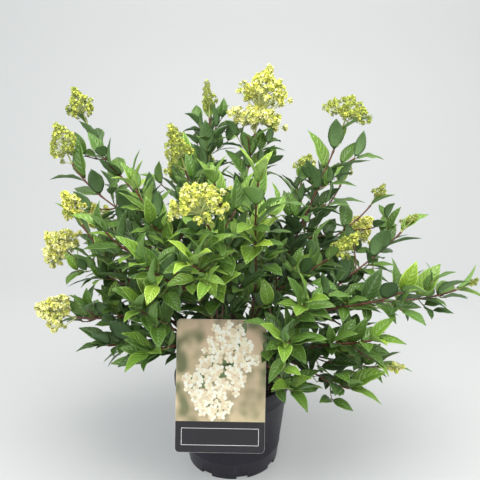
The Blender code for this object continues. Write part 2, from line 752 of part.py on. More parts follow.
class Mass:
    """One mass of foliage: a stem with side twigs, leaves and sometimes a bloom."""

    def __init__(self, name, stem, shoot, number, foliage):
        self.name = name
        self.stem = stem
        self.shoot = shoot
        self.foliage = foliage
        self.draw = random.Random(SEED + 31 * number)
        self.parts = []
        self.plans = []
        self.plan_nodes()

    def plan_nodes(self):
        """Work out the places of the stem's nodes and the leaves and twigs that they carry."""
        end = self.stem.length - (FLOWER_STALK if self.shoot.bloom_width > 0.0 else BARE_TIP)
        run = end - FIRST_NODE
        count = max(2, round(run / INTERNODE))
        nodes = [FIRST_NODE + run * (k / count) ** NODE_CROWDING for k in range(count + 1)]
        middles = [(a + b) / 2.0 for a, b in zip(nodes, nodes[1:])]
        self.rings = [0.0, FIRST_NODE / 2.0] + middles + [self.stem.length]
        roll = self.draw.uniform(0.0, 180.0)
        for k, mark in enumerate(nodes):
            share = k / count
            roll += NODE_TURN + self.draw.uniform(-NODE_TURN_SPREAD, NODE_TURN_SPREAD)
            whorl = 3 if k == count and self.shoot.bloom_width == 0.0 else 2
            for member in range(whorl):
                turn = roll + 360.0 * member / whorl
                opening = LEAF_OPENING + (TIP_LEAF_OPENING - LEAF_OPENING) * share ** 2
                opening += self.draw.uniform(-LEAF_OPENING_SPREAD, LEAF_OPENING_SPREAD)
                length = leaf_length(share) * self.draw.uniform(*LEAF_LENGTH_SPREAD)
                twiggy = TWIG_ZONE[0] < share < TWIG_ZONE[1] and self.draw.random() < TWIG_CHANCE
                twig = self.draw.uniform(*TWIG_LENGTH) if twiggy else 0.0
                self.plans.append((share, mark, turn, opening, length, twig))
        self.plans.sort(key=lambda plan: -plan[0])

    def side_way(self, limb_way, turn):
        """Return the direction square to a limb at a turn round it, counted from the upper side."""
        side = across(limb_way, UP)
        other = limb_way.cross(side)
        angle = math.radians(turn)
        return side * math.cos(angle) + other * math.sin(angle)

    def try_leaf(self, space, to_card, centre, limb_way, radius, turn, opening, length):
        """Add a leaf that grows from a point of a limb, unless something is in its way."""
        angle = math.radians(opening)
        way = limb_way * math.cos(angle) + self.side_way(limb_way, turn) * math.sin(angle)
        way.z = max(way.z, LEAF_LOWEST_WAY)
        way.normalize()
        face = across(way, limb_way * LEAF_FACE_LEAN + UP)
        root = centre - way * LEAF_ROOT_DEPTH
        verts, faces = leaf_shape(root, way, face, length)
        if min(v.z for v in verts) < LOWEST_LEAF or hides_card(verts, to_card):
            return
        swollen = leaf_shape(root, way, face, length, LEAF_GAP)[0]
        if space.touches(swollen, faces, self.name, own=False):
            return
        cut = min(LEAF_CUT_MOST, 3.0 * radius / length + LEAF_CUT_BASE)
        outer = leaf_shape(root, way, face, length, LEAF_GAP, cut)[0]
        if space.touches(outer, faces, self.name, own=True):
            return
        space.add(verts, faces, self.name)
        self.parts.append(make_object(self.name + "_leaf", verts, faces))

    def try_twig(self, space, to_card, mark, turn, length):
        """Add a side twig with its leaves, unless something is in its way."""
        centre = self.stem.chord_at(mark, self.rings)
        way = self.stem.way(mark)
        out = self.side_way(way, turn)
        start_way = (way * TWIG_START_LEAN + out).normalized()
        end_way = (way * TWIG_END_LEAN + out + UP * TWIG_LIFT).normalized()
        end = centre + (start_way + end_way).normalized() * length
        twig = Limb(centre, start_way, end, end_way, TWIG_RADIUS, TWIG_RADIUS * TWIG_TAPER)
        ends = [0.0, twig.length]
        item = tube(self.name + "_twig", twig, ends, STEM_SIDES, None)
        verts, faces = surface_trees(item)
        outer_radii = (TWIG_TEST_RADIUS, TWIG_TEST_RADIUS)
        outer = Limb(twig.at(TWIG_TEST_START), start_way, end, end_way, *outer_radii)
        outer_rings = [0.0, outer.length / 2.0, outer.length]
        test = tube(self.name + "_test", outer, outer_rings, STEM_SIDES, None)
        test_verts, test_faces = surface_trees(test)
        bpy.data.objects.remove(test)
        blocked = (space.touches(verts, faces, self.name, own=False)
                   or space.touches(test_verts, test_faces, self.name, own=True)
                   or hides_card(verts, to_card))
        if blocked:
            bpy.data.objects.remove(item)
            return
        space.add(verts, faces, self.name)
        self.parts.append(item)
        roll = self.draw.uniform(0.0, 180.0)
        for place, angle, size in TWIG_LEAVES:
            mark = twig.length * place
            self.try_leaf(space, to_card, twig.chord_at(mark, ends), twig.way(mark), TWIG_RADIUS,
                          roll + angle, TWIG_LEAF_OPENING, LEAF_LENGTH * size)

    def start(self, space):
        """Put the stem and the bloom in place, before any leaf."""
        self.body = tube(self.name, self.stem, self.rings, STEM_SIDES, self.foliage)
        space.add(*surface_trees(self.body), self.name)
        if self.shoot.bloom_width > 0.0:
            bloom = self.build_bloom()
            space.add(*surface_trees(bloom), self.name)
            self.parts.append(bloom)

    def build_bloom(self):
        """Build the bloom: a lumpy cone or dome, threaded on the stem's tip."""
        way = self.stem.way(self.stem.length)
        side = across(way, UP)
        other = way.cross(side)
        tall, wide = self.shoot.bloom_height, self.shoot.bloom_width
        foot = self.stem.at(self.stem.length) - way * (tall * BLOOM_SINK)
        verts = [foot]
        for level, swell in BLOOM_LEVELS:
            for k in range(BLOOM_SIDES):
                angle = 2.0 * math.pi * (k + 0.5 * level) / BLOOM_SIDES
                spoke = side * math.cos(angle) + other * math.sin(angle)
                reach = wide / 2.0 * swell * self.draw.uniform(*BLOOM_REACH_SPREAD)
                height = tall * level * self.draw.uniform(*BLOOM_HEIGHT_SPREAD)
                verts.append(foot + way * height + spoke * reach)
        verts.append(foot + way * tall)
        faces = []
        for k in range(BLOOM_SIDES):
            n = (k + 1) % BLOOM_SIDES
            faces.append((0, 1 + n, 1 + k))
            for ring in range(len(BLOOM_LEVELS) - 1):
                low, high = 1 + ring * BLOOM_SIDES, 1 + (ring + 1) * BLOOM_SIDES
                faces.append((low + k, low + n, high + n))
                faces.append((low + k, high + n, high + k))
            top = 1 + (len(BLOOM_LEVELS) - 1) * BLOOM_SIDES
            faces.append((top + k, top + n, len(verts) - 1))
        return make_object(self.name + "_bloom", verts, faces)

    def grow_one(self, space, to_card):
        """Try the next planned leaf and, with some, a side twig in its axil."""
        if not self.plans:
            return False
        _, mark, turn, opening, length, twig = self.plans.pop(0)
        radius = self.stem.radius(mark)
        centre = self.stem.chord_at(mark, self.rings)
        self.try_leaf(space, to_card, centre, self.stem.way(mark), radius, turn, opening, length)
        if twig > 0.0:
            self.try_twig(space, to_card, mark + TWIG_AXIL, turn + TWIG_AXIL_TURN, twig)
        return True

    def finish(self):
        """Fuse the stem, twigs, leaves and bloom into one solid."""
        return fuse(self.body, self.parts)


def tip_place(shoot):
    """Return the place of a stem's tip."""
    return unit(shoot.turn) * shoot.reach + UP * shoot.height


def lay_boughs(solids):
    """Lay out every bough clear of the solids. Return each with its limb."""
    head = Vector((0.0, 0.0, CROWN_HEAD_HEIGHT))
    placed, laid = [], []
    for bough in SHOWN_BOUGHS + back_boughs():
        tips = [tip_place(shoot) for shoot in bough.shoots]
        mean_tip = sum(tips, Vector()) / len(tips)
        fork = head.lerp(mean_tip, FORK_SHARE)
        start_way = unit(bough.turn, bough.rise)
        start = head + start_way * (CROWN_HEAD_RADIUS + CLEARANCE)
        end_way = ((mean_tip - fork).normalized() + UP * FORK_LIFT).normalized()
        radii = (BOUGH_FOOT_RADIUS, BOUGH_TIP_RADIUS)
        limb = clear_limb(start, start_way, fork, end_way, radii, placed, solids)
        placed.append(limb.samples())
        laid.append((bough, limb))
    return laid


def lay_masses(laid, solids, foliage):
    """Lay out the stem of every mass from the fork at its bough's tip. Return the masses."""
    rows_by_bough = {bough.name: limb.samples() for bough, limb in laid}
    stem_rows, masses = [], []
    for bough, limb in laid:
        fork, way = limb.at(limb.length), limb.way(limb.length)
        others = [rows for name, rows in rows_by_bough.items() if name != bough.name]
        others += [rows_by_bough[bough.name][:-FORK_SAMPLES]] + stem_rows
        slots = fork_slots(fork, way, bough.shoots)
        for index, shoot in enumerate(bough.shoots):
            start = fork + way * CLEARANCE + slots[index] * FORK_SLOT_RADIUS
            radii = (STEM_FOOT_RADIUS, STEM_TIP_RADIUS)
            stem = clear_limb(start, way, tip_place(shoot), tip_way(shoot), radii, others, solids)
            others.append(stem.samples())
            stem_rows.append(stem.samples())
            name = "mass_" + bough.name + "_" + str(index + 1)
            masses.append(Mass(name, stem, shoot, len(masses), foliage))
    return masses


def grow_masses(masses, space):
    """Grow the leaves of all masses in turn, from the tips inwards, and fuse each mass."""
    to_card = card_frame().inverted()
    for mass in masses:
        mass.start(space)
    growing = True
    while growing:
        growing = False
        for mass in masses:
            growing = mass.grow_one(space, to_card) or growing
    for mass in masses:
        mass.finish()


def build_plant():
    """Build the whole potted shrub in an empty scene."""
    for item in list(bpy.data.objects):
        bpy.data.objects.remove(item)
    bark = make_material("bark", (0.105, 0.050, 0.038), 0.7)
    foliage = make_material("foliage", (0.070, 0.170, 0.035), 0.5)
    pot, compost, crown, card = build_pot(), build_compost(), build_crown(bark), build_card()
    solids = [BVHTree.FromPolygons(*surface_trees(item)) for item in (pot, compost, card)]
    laid = lay_boughs(solids)
    masses = lay_masses(laid, solids, foliage)
    space = Space()
    for item in (pot, compost, crown, card):
        space.add(*surface_trees(item), "fixed")
    for bough, limb in laid:
        marks = [limb.length * i / (BOUGH_RINGS - 1) for i in range(BOUGH_RINGS)]
        item = tube("bough_" + bough.name, limb, marks, BOUGH_SIDES, bark)
        shade_round(item)
        space.add(*surface_trees(item), "fixed")
    grow_masses(masses, space)


build_plant()
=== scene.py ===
"""Potted panicle hydrangea in flower, dressed for a soft studio.

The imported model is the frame. Pot, compost, short stem and boughs are remade with their real
surface. Each mass of foliage is grown again by the rule that laid out the solids, and carried on
to finer twigs, single toothed leaves and florets.

Units are metres and +Z is up. The origin is the centre of the pot's flat underside, and the front
of the plant, where the card hangs, faces -Y. Turns are in degrees from +X, seen from above.
"""
import bisect
import itertools
import json
import logging
import random
from cmath import rect
from collections.abc import Callable, Iterable, Sequence
from dataclasses import dataclass, field
from enum import Enum, IntEnum
from math import atan2, copysign, cos, exp, pi, radians, sin, sqrt, tau

import bpy
import numpy as np
from mathutils import Matrix, Vector
from mathutils.bvhtree import BVHTree


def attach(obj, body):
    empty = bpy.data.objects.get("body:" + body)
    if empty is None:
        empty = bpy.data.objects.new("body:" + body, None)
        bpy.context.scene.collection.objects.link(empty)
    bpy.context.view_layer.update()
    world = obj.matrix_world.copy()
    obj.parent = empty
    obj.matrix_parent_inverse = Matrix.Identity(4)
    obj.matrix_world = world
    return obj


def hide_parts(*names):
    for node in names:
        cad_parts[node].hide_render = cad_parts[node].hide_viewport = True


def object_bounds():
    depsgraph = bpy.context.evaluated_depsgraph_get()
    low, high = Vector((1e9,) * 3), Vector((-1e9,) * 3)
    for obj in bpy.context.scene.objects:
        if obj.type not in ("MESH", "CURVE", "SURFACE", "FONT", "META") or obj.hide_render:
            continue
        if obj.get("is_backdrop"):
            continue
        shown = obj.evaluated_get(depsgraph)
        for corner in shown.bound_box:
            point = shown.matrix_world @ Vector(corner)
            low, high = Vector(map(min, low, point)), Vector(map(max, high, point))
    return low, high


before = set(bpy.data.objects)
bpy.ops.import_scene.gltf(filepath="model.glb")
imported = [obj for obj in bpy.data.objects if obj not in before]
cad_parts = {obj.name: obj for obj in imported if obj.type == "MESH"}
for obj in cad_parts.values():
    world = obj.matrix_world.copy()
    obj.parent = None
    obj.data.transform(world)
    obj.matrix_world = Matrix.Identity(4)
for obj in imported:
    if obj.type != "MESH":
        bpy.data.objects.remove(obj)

Triple = tuple[float, float, float]
Pair = tuple[float, float]
Floats = tuple[float, ...]
Outline = list[complex]
Faces = list[tuple[int, ...]]
Solid = tuple[list[Vector], Faces]
Reach = Callable[[float, float], float]
Material = bpy.types.Material
Socket = bpy.types.NodeSocket
Tree = bpy.types.NodeTree

UP = Vector((0.0, 0.0, 1.0))
FIRST_RING_SIDE = Vector((0.31, 0.77, 0.56))
TINY = 1e-4
CLEARANCE = 0.0003
SEED = 4107
FINE_SEED = 911
GOLDEN_TURN = pi * (3.0 - sqrt(5.0))
HALF_TURN = 180.0
LEAF_MAP = "leaf"
LIMB_MAP = "limb"

log = logging.getLogger("hydrangea")


class Slot(Enum):
    """Material slots of the record."""

    POT = "pot"
    COMPOST = "compost"
    BARK = "bark"
    FOLIAGE = "foliage"
    BLOSSOM = "blossom"
    CARD = "card"


class Tone(Enum):
    """Tones of leaf, from the darkest, which is older leaf and painted shade for the inside of the plant, to
    its youngest tips.
    """

    DEEP = 0
    MID = 1
    FRESH = 2
    LIME = 3


class Form(Enum):
    """Forms of bloom."""

    CONE = "cone"
    DOME = "dome"
    TIERED = "tiered"


class Ripeness(Enum):
    """How far a bloom has opened, which sets its mix of buds and petals."""

    BUD = "bud"
    GREEN = "green"
    LEMON = "lemon"
    PALE = "pale"


class Pattern(Enum):
    """Patterns that a finish can carry besides its mottling, by the names of their groups."""

    PLAIN = "plain"
    VEINED = "veins"
    WOODY = "grain"
    SCUFFED = "scuffs"
    CRUMBLY = "crumbs"
    HAZY = "haze"


# Growth: directions, limbs and the room between them


def unit(turn: float, rise: float = 0.0) -> Vector:
    """Return the unit vector at a turn, seen from above, and a rise, both in degrees."""
    t, r = radians(turn), radians(rise)
    return Vector((cos(t) * cos(r), sin(t) * cos(r), sin(r)))


def across(direction: Vector, hint: Vector) -> Vector:
    """Return the unit vector square to a direction that lies nearest to a hint."""
    part = hint - direction * hint.dot(direction)
    return (direction.orthogonal() if part.length < TINY else part).normalized()


def spoke(way: Vector, side: Vector, angle: float) -> Vector:
    """Return the unit vector square to a way, at an angle in radians from its side."""
    return side * cos(angle) + way.cross(side) * sin(angle)


def side_way(limb_way: Vector, turn: float) -> Vector:
    """Return the direction square to a limb at a turn round it, counted from its upper side."""
    return spoke(limb_way, across(limb_way, UP), radians(turn))


def band(first: int, rings: int, sides: int) -> Faces:
    """Join rings of vertices by outward triangles.

    Args:
        first: Number of the first ring's first vertex.
        rings: Number of rings.
        sides: Number of vertices in a ring.

    Returns:
        The triangles.
    """
    lows = range(first, first + (rings - 1) * sides, sides)
    edges = [(low + k, low + (k + 1) % sides) for low in lows for k in range(sides)]
    return [face for a, b in edges for face in ((a, b, b + sides), (a, b + sides, a + sides))]


def fan(centre: int, first: int, sides: int, top: bool) -> Faces:
    """Return the triangles from a ring's first vertex on to its middle, which closes the top or the foot."""
    pairs = [(first + k, first + (k + 1) % sides) for k in range(sides)]
    return [(a, b, centre) if top else (b, a, centre) for a, b in pairs]


def closed(first: int, rings: int, sides: int, low: int, high: int) -> Faces:
    """Return the outward triangles of rings that close at a low and a high middle."""
    last = first + (rings - 1) * sides
    return fan(low, first, sides, False) + band(first, rings, sides) + fan(high, last, sides, True)


@dataclass(frozen=True)
class Run:
    """Ends of a limb, with its direction and its radius at each."""

    start: Vector
    start_way: Vector
    end: Vector
    end_way: Vector
    foot_radius: float
    tip_radius: float


@dataclass(frozen=True)
class Seat:
    """Point on a limb that a leaf grows from, with the limb's direction and radius there."""

    centre: Vector
    way: Vector
    radius: float


@dataclass(frozen=True)
class LeafPlan:
    """Turn of a leaf round its limb, angle to it, length, and how far along its stem it grows."""

    turn: float
    opening: float
    length: float
    share: float


class Limb:
    """Smooth tapering limb, sampled finely so that points along it can be read off."""

    SAMPLES = 120
    PULL = 0.36
    WAY_STEP = 0.02
    SPACING = 0.002

    def __init__(self, run: Run, bow: Vector | None = None) -> None:
        """Lay out the limb.

        Args:
            run: Its ends.
            bow: How far its middle is moved sideways.
        """
        pull = (run.end - run.start).length * self.PULL
        shift = bow if bow else Vector()
        second = run.start + run.start_way * pull + shift
        third = run.end - run.end_way * pull + shift
        self.run = run
        self.points = []
        for i in range(self.SAMPLES + 1):
            t = i / self.SAMPLES
            s = 1.0 - t
            first_half = run.start * s ** 3 + second * (3 * s * s * t)
            self.points.append(first_half + third * (3 * s * t * t) + run.end * t ** 3)
        spans = ((b - a).length for a, b in zip(self.points, self.points[1:]))
        self.marks = list(itertools.accumulate(spans, initial=0.0))
        self.length = self.marks[-1]

    def at(self, mark: float) -> Vector:
        """Find the point at a distance along the limb.

        Args:
            mark: The distance.

        Returns:
            The point.
        """
        mark = min(max(mark, 0.0), self.length)
        high = min(max(bisect.bisect_right(self.marks, mark), 1), self.SAMPLES)
        start, end = self.marks[high - 1], self.marks[high]
        return self.points[high - 1].lerp(self.points[high], (mark - start) / (end - start))

    def way(self, mark: float) -> Vector:
        """Find the direction at a distance along the limb.

        Args:
            mark: The distance.

        Returns:
            The unit vector.
        """
        step = self.length * self.WAY_STEP
        way = self.run.start_way if mark <= 0.0 else self.at(mark + step) - self.at(mark - step)
        return way.normalized()

    def chord_at(self, mark: float, rings: Sequence[float]) -> Vector:
        """Find the point at a distance along the straight runs between rings.

        Args:
            mark: The distance.
            rings: Distances of the rings.

        Returns:
            The point.
        """
        for low, high in zip(rings, rings[1:]):
            if mark <= high:
                return self.at(low).lerp(self.at(high), (mark - low) / (high - low))
        return self.at(rings[-1])

    def radius(self, mark: float) -> float:
        """Return the limb's radius at a distance along it."""
        foot, tip = self.run.foot_radius, self.run.tip_radius
        return foot + (tip - foot) * mark / self.length

    def seat(self, mark: float) -> Seat:
        """Return the seat at a distance along the limb."""
        return Seat(self.at(mark), self.way(mark), self.radius(mark))

    def steps(self, count: int) -> list[float]:
        """Return the marks that part the limb into equal steps."""
        return [self.length * i / count for i in range(count + 1)]

    def samples(self) -> np.ndarray:
        """Return rows of x, y, z and radius along the limb, for measuring gaps."""
        marks = self.steps(max(2, round(self.length / self.SPACING)))
        return np.array([(*self.at(mark), self.radius(mark)) for mark in marks])

    def gap(self, others: Sequence[np.ndarray], solids: Sequence[BVHTree]) -> float:
        """Measure the smallest gap between the limb and what lies round it.

        Args:
            others: Samples of other limbs.
            solids: Search trees of solids.

        Returns:
            The gap.
        """
        rows, gap = self.samples(), 1.0
        for other in others:
            reach = np.linalg.norm(rows[:, None, :3] - other[None, :, :3], axis=2)
            gap = min(gap, (reach - rows[:, None, 3] - other[None, :, 3]).min())
        for row, tree in itertools.product(rows, solids):
            gap = min(gap, tree.find_nearest(Vector(row[:3]))[3] - row[3])
        return gap

    def tube(self, marks: Sequence[float], sides: int, radius: Reach | None = None) -> Solid:
        """Lay a closed tube along the limb.

        Args:
            marks: Distances of its rings.
            sides: Number of sides.
            radius: Gives the radius at a mark and an angle, in place of the limb's own.

        Returns:
            Its vertices, ring by ring and then the middles of both ends, and its triangles.
        """
        verts, side = [], across(self.way(0.0), FIRST_RING_SIDE)
        for mark in marks:
            way, centre = self.way(mark), self.at(mark)
            side = across(way, side)
            for k in range(sides):
                angle = tau * k / sides
                reach = radius(mark, angle) if radius else self.radius(mark)
                verts.append(centre + spoke(way, side, angle) * reach)
        faces = closed(0, len(marks), sides, len(verts), len(verts) + 1)
        return [*verts, self.at(marks[0]), self.at(marks[-1])], faces


# Growth: the shoots that the photograph shows, and the far side by rule


@dataclass(frozen=True)
class Shoot:
    """Tip of a mass's stem by its turn, reach and height, with its bloom and the tone of its leaves."""

    turn: float
    reach: float
    height: float
    bloom_width: float = 0.0
    bloom_height: float = 0.0
    ripeness: Ripeness = Ripeness.GREEN
    form: Form = Form.CONE
    tone: Tone = Tone.MID

    def tip(self) -> Vector:
        """Return the place of the stem's tip."""
        return unit(self.turn) * self.reach + UP * self.height


@dataclass(frozen=True)
class Bough:
    """Bough by its name, the turn and rise at its foot, and the shoots that it carries."""

    name: str
    turn: float
    rise: float
    shoots: tuple[Shoot, ...]


LOW_RISE = 12.0
HIGH_RISE = 50.0

SHOWN_BOUGHS = (
    Bough("front_left_low", -137.0, LOW_RISE, (
        Shoot(-133, 0.165, 0.247),
        Shoot(-129, 0.190, 0.321),
        # This low shoot carries the darkest leaf tone as painted shade.
        Shoot(-162, 0.196, 0.227, tone=Tone.DEEP))),
    Bough("left_low", 178.0, LOW_RISE, (
        Shoot(-170, 0.262, 0.272, 0.055, 0.045, Ripeness.PALE),
        Shoot(175, 0.264, 0.351, 0.070, 0.047, Ripeness.PALE),
        Shoot(180, 0.238, 0.420, 0.045, 0.040, Ripeness.LEMON))),
    Bough("right_low", 2.0, LOW_RISE, (
        Shoot(10, 0.291, 0.391, 0.020, 0.018, Ripeness.BUD),
        Shoot(0, 0.372, 0.304, 0.020, 0.018, Ripeness.BUD),
        Shoot(-18, 0.257, 0.321))),
    Bough("front_right_low", -40.0, LOW_RISE, (
        Shoot(-12, 0.249, 0.185, 0.018, 0.026, Ripeness.PALE),
        Shoot(-33, 0.203, 0.184),
        Shoot(-29, 0.226, 0.259))),
    Bough("front_low", -75.0, LOW_RISE, (
        Shoot(-68, 0.190, 0.287),
        Shoot(-61, 0.172, 0.203),
        Shoot(-55, 0.170, 0.326))),
    Bough("front_left_high", -108.0, HIGH_RISE, (
        Shoot(-124, 0.193, 0.386),
        Shoot(-103, 0.206, 0.402, tone=Tone.FRESH),
        Shoot(-102, 0.174, 0.460, 0.076, 0.044, Ripeness.LEMON, Form.DOME))),
    Bough("left_high", 178.0, HIGH_RISE, (
        Shoot(-155, 0.192, 0.410),
        Shoot(-156, 0.146, 0.465, tone=Tone.FRESH),
        Shoot(-165, 0.076, 0.508, 0.047, 0.055))),
    Bough("back_left_high", 112.0, HIGH_RISE, (
        Shoot(157, 0.262, 0.560, 0.052, 0.047),
        Shoot(166, 0.270, 0.503, 0.053, 0.053),
        Shoot(108, 0.126, 0.571, 0.030, 0.046, Ripeness.BUD))),
    Bough("right_high", 45.0, HIGH_RISE, (
        Shoot(13, 0.178, 0.560, 0.072, 0.034),
        Shoot(28, 0.213, 0.462, 0.022, 0.018, Ripeness.BUD),
        Shoot(22, 0.262, 0.426, 0.027, 0.024, Ripeness.BUD))),
    Bough("front_right_high", -33.0, HIGH_RISE, (
        Shoot(-76, 0.144, 0.491, tone=Tone.FRESH),
        Shoot(-18, 0.165, 0.375, 0.038, 0.046))),
    Bough("leader", 0.0, 90.0, (
        Shoot(45, 0.056, 0.554, 0.086, 0.092, Ripeness.LEMON, Form.TIERED),
        Shoot(-119, 0.050, 0.472, tone=Tone.FRESH))),
)


@dataclass(frozen=True)
class FarSide:
    """Sizes of the boughs that the photograph doesn't show, finished like what shows."""

    turns: Floats = (47.0, 92.0, 135.0)
    spread: float = 15.0
    heights: Floats = (0.255, 0.365, 0.455)
    reaches: Floats = (0.235, 0.270, 0.205)
    blooms: Floats = (0.0, 0.055, 0.045)
    bloom_shape: float = 0.8
    turn_spread: float = 5.0
    reach_spread: Pair = (0.94, 1.06)
    height_spread: float = 0.02
    bloom_spread: Pair = (0.85, 1.15)
    ripeness: tuple[Ripeness, ...] = (Ripeness.GREEN, Ripeness.LEMON, Ripeness.GREEN)

    def boughs(self) -> tuple[Bough, ...]:
        """Lay out the boughs, with seeded differences from shoot to shoot.

        Returns:
            The boughs.
        """
        draw, boughs = random.Random(SEED), []
        for index, turn in enumerate(self.turns):
            shoots = []
            for level, height in enumerate(self.heights):
                swing = self.spread * (1, -1, 0)[(level + index) % 3]
                swing += draw.uniform(-self.turn_spread, self.turn_spread)
                reach = self.reaches[level] * draw.uniform(*self.reach_spread)
                wide = self.blooms[level] * draw.uniform(*self.bloom_spread)
                lift = draw.uniform(-self.height_spread, self.height_spread)
                bloom = (wide, wide * self.bloom_shape, self.ripeness[level])
                shoots.append(Shoot(turn + swing, reach, height + lift, *bloom))
            boughs.append(Bough(f"back_low_{index + 1}", turn, LOW_RISE, tuple(shoots)))
        return tuple(boughs)


@dataclass(frozen=True)
class GrowthSizes:
    """Sizes of the growth rule, which are those of the solids."""

    crown_head_radius: float = 0.0170
    crown_head_height: float = 0.1660
    limb_gap: float = 0.0007
    limb_bows: Floats = (0.008, 0.016, 0.026, 0.038, 0.052, 0.068)
    bow_turns: int = 8
    bough_foot_radius: float = 0.0039
    bough_tip_radius: float = 0.0033
    fork_share: float = 0.31
    fork_lift: float = 0.9
    fork_samples: int = 5
    fork_slot_radius: float = 0.0027
    stem_sides: int = 3
    stem_foot_radius: float = 0.0017
    stem_tip_radius: float = 0.0012
    first_node: float = 0.026
    internode: float = 0.037
    node_crowding: float = 0.86
    node_turn: float = 90.0
    node_turn_spread: float = 14.0
    flower_stalk: float = 0.026
    bare_tip: float = 0.003
    tip_heights: Pair = (0.20, 0.50)
    tip_rises: Pair = (12.0, 72.0)
    twig_radius: float = 0.0011
    twig_taper: float = 0.8
    twig_length: Pair = (0.030, 0.052)
    twig_chance: float = 0.36
    twig_zone: Pair = (0.15, 0.85)
    twig_axil: float = 0.002
    twig_axil_turn: float = 8.0
    twig_start_lean: float = 0.75
    twig_end_lean: float = 0.6
    twig_lift: float = 0.5
    twig_test_start: float = 0.012
    twig_test_radius: float = 0.0018
    twig_nodes: Pair = (0.5, 0.97)
    twig_youth: float = 0.15
    twig_leaves: tuple = ((0.5, 0.0, 0.66), (0.5, 180.0, 0.66), (0.97, 90.0, 0.62), (0.97, 270.0, 0.55))
    twig_leaf_opening: float = 48.0
    leaf_length: float = 0.086
    leaf_length_curve: Triple = (0.88, 0.42, -0.56)
    leaf_length_spread: Pair = (0.9, 1.1)
    leaf_opening: float = 66.0
    leaf_opening_spread: float = 8.0
    tip_leaf_opening: float = 40.0
    leaf_lowest_way: float = -0.22
    leaf_face_lean: float = 0.55
    leaf_width_share: float = 0.41
    leaf_thickness: float = 0.0012
    leaf_widest: float = 0.50
    leaf_ridge: float = 0.36
    leaf_droop: float = 0.10
    leaf_fold: float = 0.22
    leaf_root_depth: float = 0.0005
    leaf_gap: float = 0.0005
    leaf_cut_base: float = 0.06
    leaf_cut_most: float = 0.2
    lowest_leaf: float = 0.150
    bloom_sides: int = 7
    bloom_levels: tuple = ((0.10, 0.70), (0.45, 1.00), (0.80, 0.68))
    bloom_sink: float = 0.12
    bloom_reach_spread: Pair = (0.86, 1.08)
    bloom_height_spread: Pair = (0.9, 1.1)

    def length_of_leaf(self, share: float) -> float:
        """Return a leaf's length at a share of the way along its stem."""
        foot, rise, bend = self.leaf_length_curve
        return self.leaf_length * (foot + rise * share + bend * share ** 2)

    def tip_way(self, shoot: Shoot) -> Vector:
        """Work out the direction of a stem's tip: steep on a high shoot, flatter on a low one.

        Args:
            shoot: The shoot at the tip.

        Returns:
            The unit vector.
        """
        (low, high), (flat, steep) = self.tip_heights, self.tip_rises
        share = min(max((shoot.height - low) / (high - low), 0.0), 1.0)
        return unit(shoot.turn, flat + (steep - flat) * share)


GROWTH = GrowthSizes()


@dataclass
class Leaf:
    """One leaf by its root, direction, upper side and length, with how far out it grows and its tone."""

    root: Vector
    way: Vector
    face: Vector
    length: float
    share: float
    tone: Tone = Tone.MID

    FACES = [(0, 2, 4), (0, 4, 3), (1, 4, 2), (1, 3, 4), (0, 5, 2), (0, 3, 5), (1, 2, 5), (1, 5, 3)]

    @classmethod
    def planned(cls, seat: Seat, plan: LeafPlan, depth: float = 0.0) -> "Leaf":
        """Lay a leaf by its plan.

        Args:
            seat: Where it grows from.
            plan: How it grows.
            depth: How deep its root sits.

        Returns:
            The leaf.
        """
        angle = radians(plan.opening)
        way = seat.way * cos(angle) + side_way(seat.way, plan.turn) * sin(angle)
        way.z = max(way.z, GROWTH.leaf_lowest_way)
        way.normalize()
        face = across(way, seat.way * GROWTH.leaf_face_lean + UP)
        return cls(seat.centre - way * depth, way, face, plan.length, plan.share)

    def proxy(self, grow: float = 0.0, cut: float = 0.0) -> Solid:
        """Lay out the plain leaf of eight faces that holds the leaf's room.

        Args:
            grow: How far it is swollen all round.
            cut: Share of its root that is left out.

        Returns:
            Its root, tip, right, left, top and under vertices, and its faces.
        """
        rule, side = GROWTH, self.way.cross(self.face).normalized()
        half = self.length * rule.leaf_width_share / 2.0 + grow
        thick, lift = rule.leaf_thickness / 2.0 + grow, half * rule.leaf_fold
        places = ((cut, 0.0, 0.0), (1.0, 0.0, -self.length * rule.leaf_droop),
                  (rule.leaf_widest, half, lift), (rule.leaf_widest, -half, lift),
                  (rule.leaf_ridge, 0.0, thick), (rule.leaf_ridge, 0.0, -thick))
        verts = [self.root + self.way * (self.length * share) + side * out + self.face * up
                 for share, out, up in places]
        verts[1] += self.way * grow
        return verts, self.FACES


@dataclass(frozen=True)
class Twig:
    """One twig with its limb, the marks of its nodes and whether it is green."""

    limb: Limb
    nodes: Floats
    green: bool


@dataclass(frozen=True)
class CardPlace:
    """Where the picture card hangs: it leans back over the pot's lip."""

    width: float = 0.133
    height: float = 0.198
    thickness: float = 0.0009
    corner: float = 0.006
    centre_x: float = -0.017
    below_lip: float = 0.073
    lean: float = 16.0
    roll: float = 1.0
    lip_radius: float = 0.0950
    pot_height: float = 0.150

    def matrix(self) -> Matrix:
        """Work out the card's matrix.

        Returns:
            The matrix, with X along the card's width, Y up its face and Z out of its face.
        """
        seat = Vector((self.centre_x, -self.lip_radius - CLEARANCE - self.thickness, self.pot_height))
        lean = Matrix.Rotation(radians(90.0 - self.lean), 4, "X")
        return Matrix.Translation(seat) @ lean @ Matrix.Rotation(radians(-self.roll), 4, "Z")


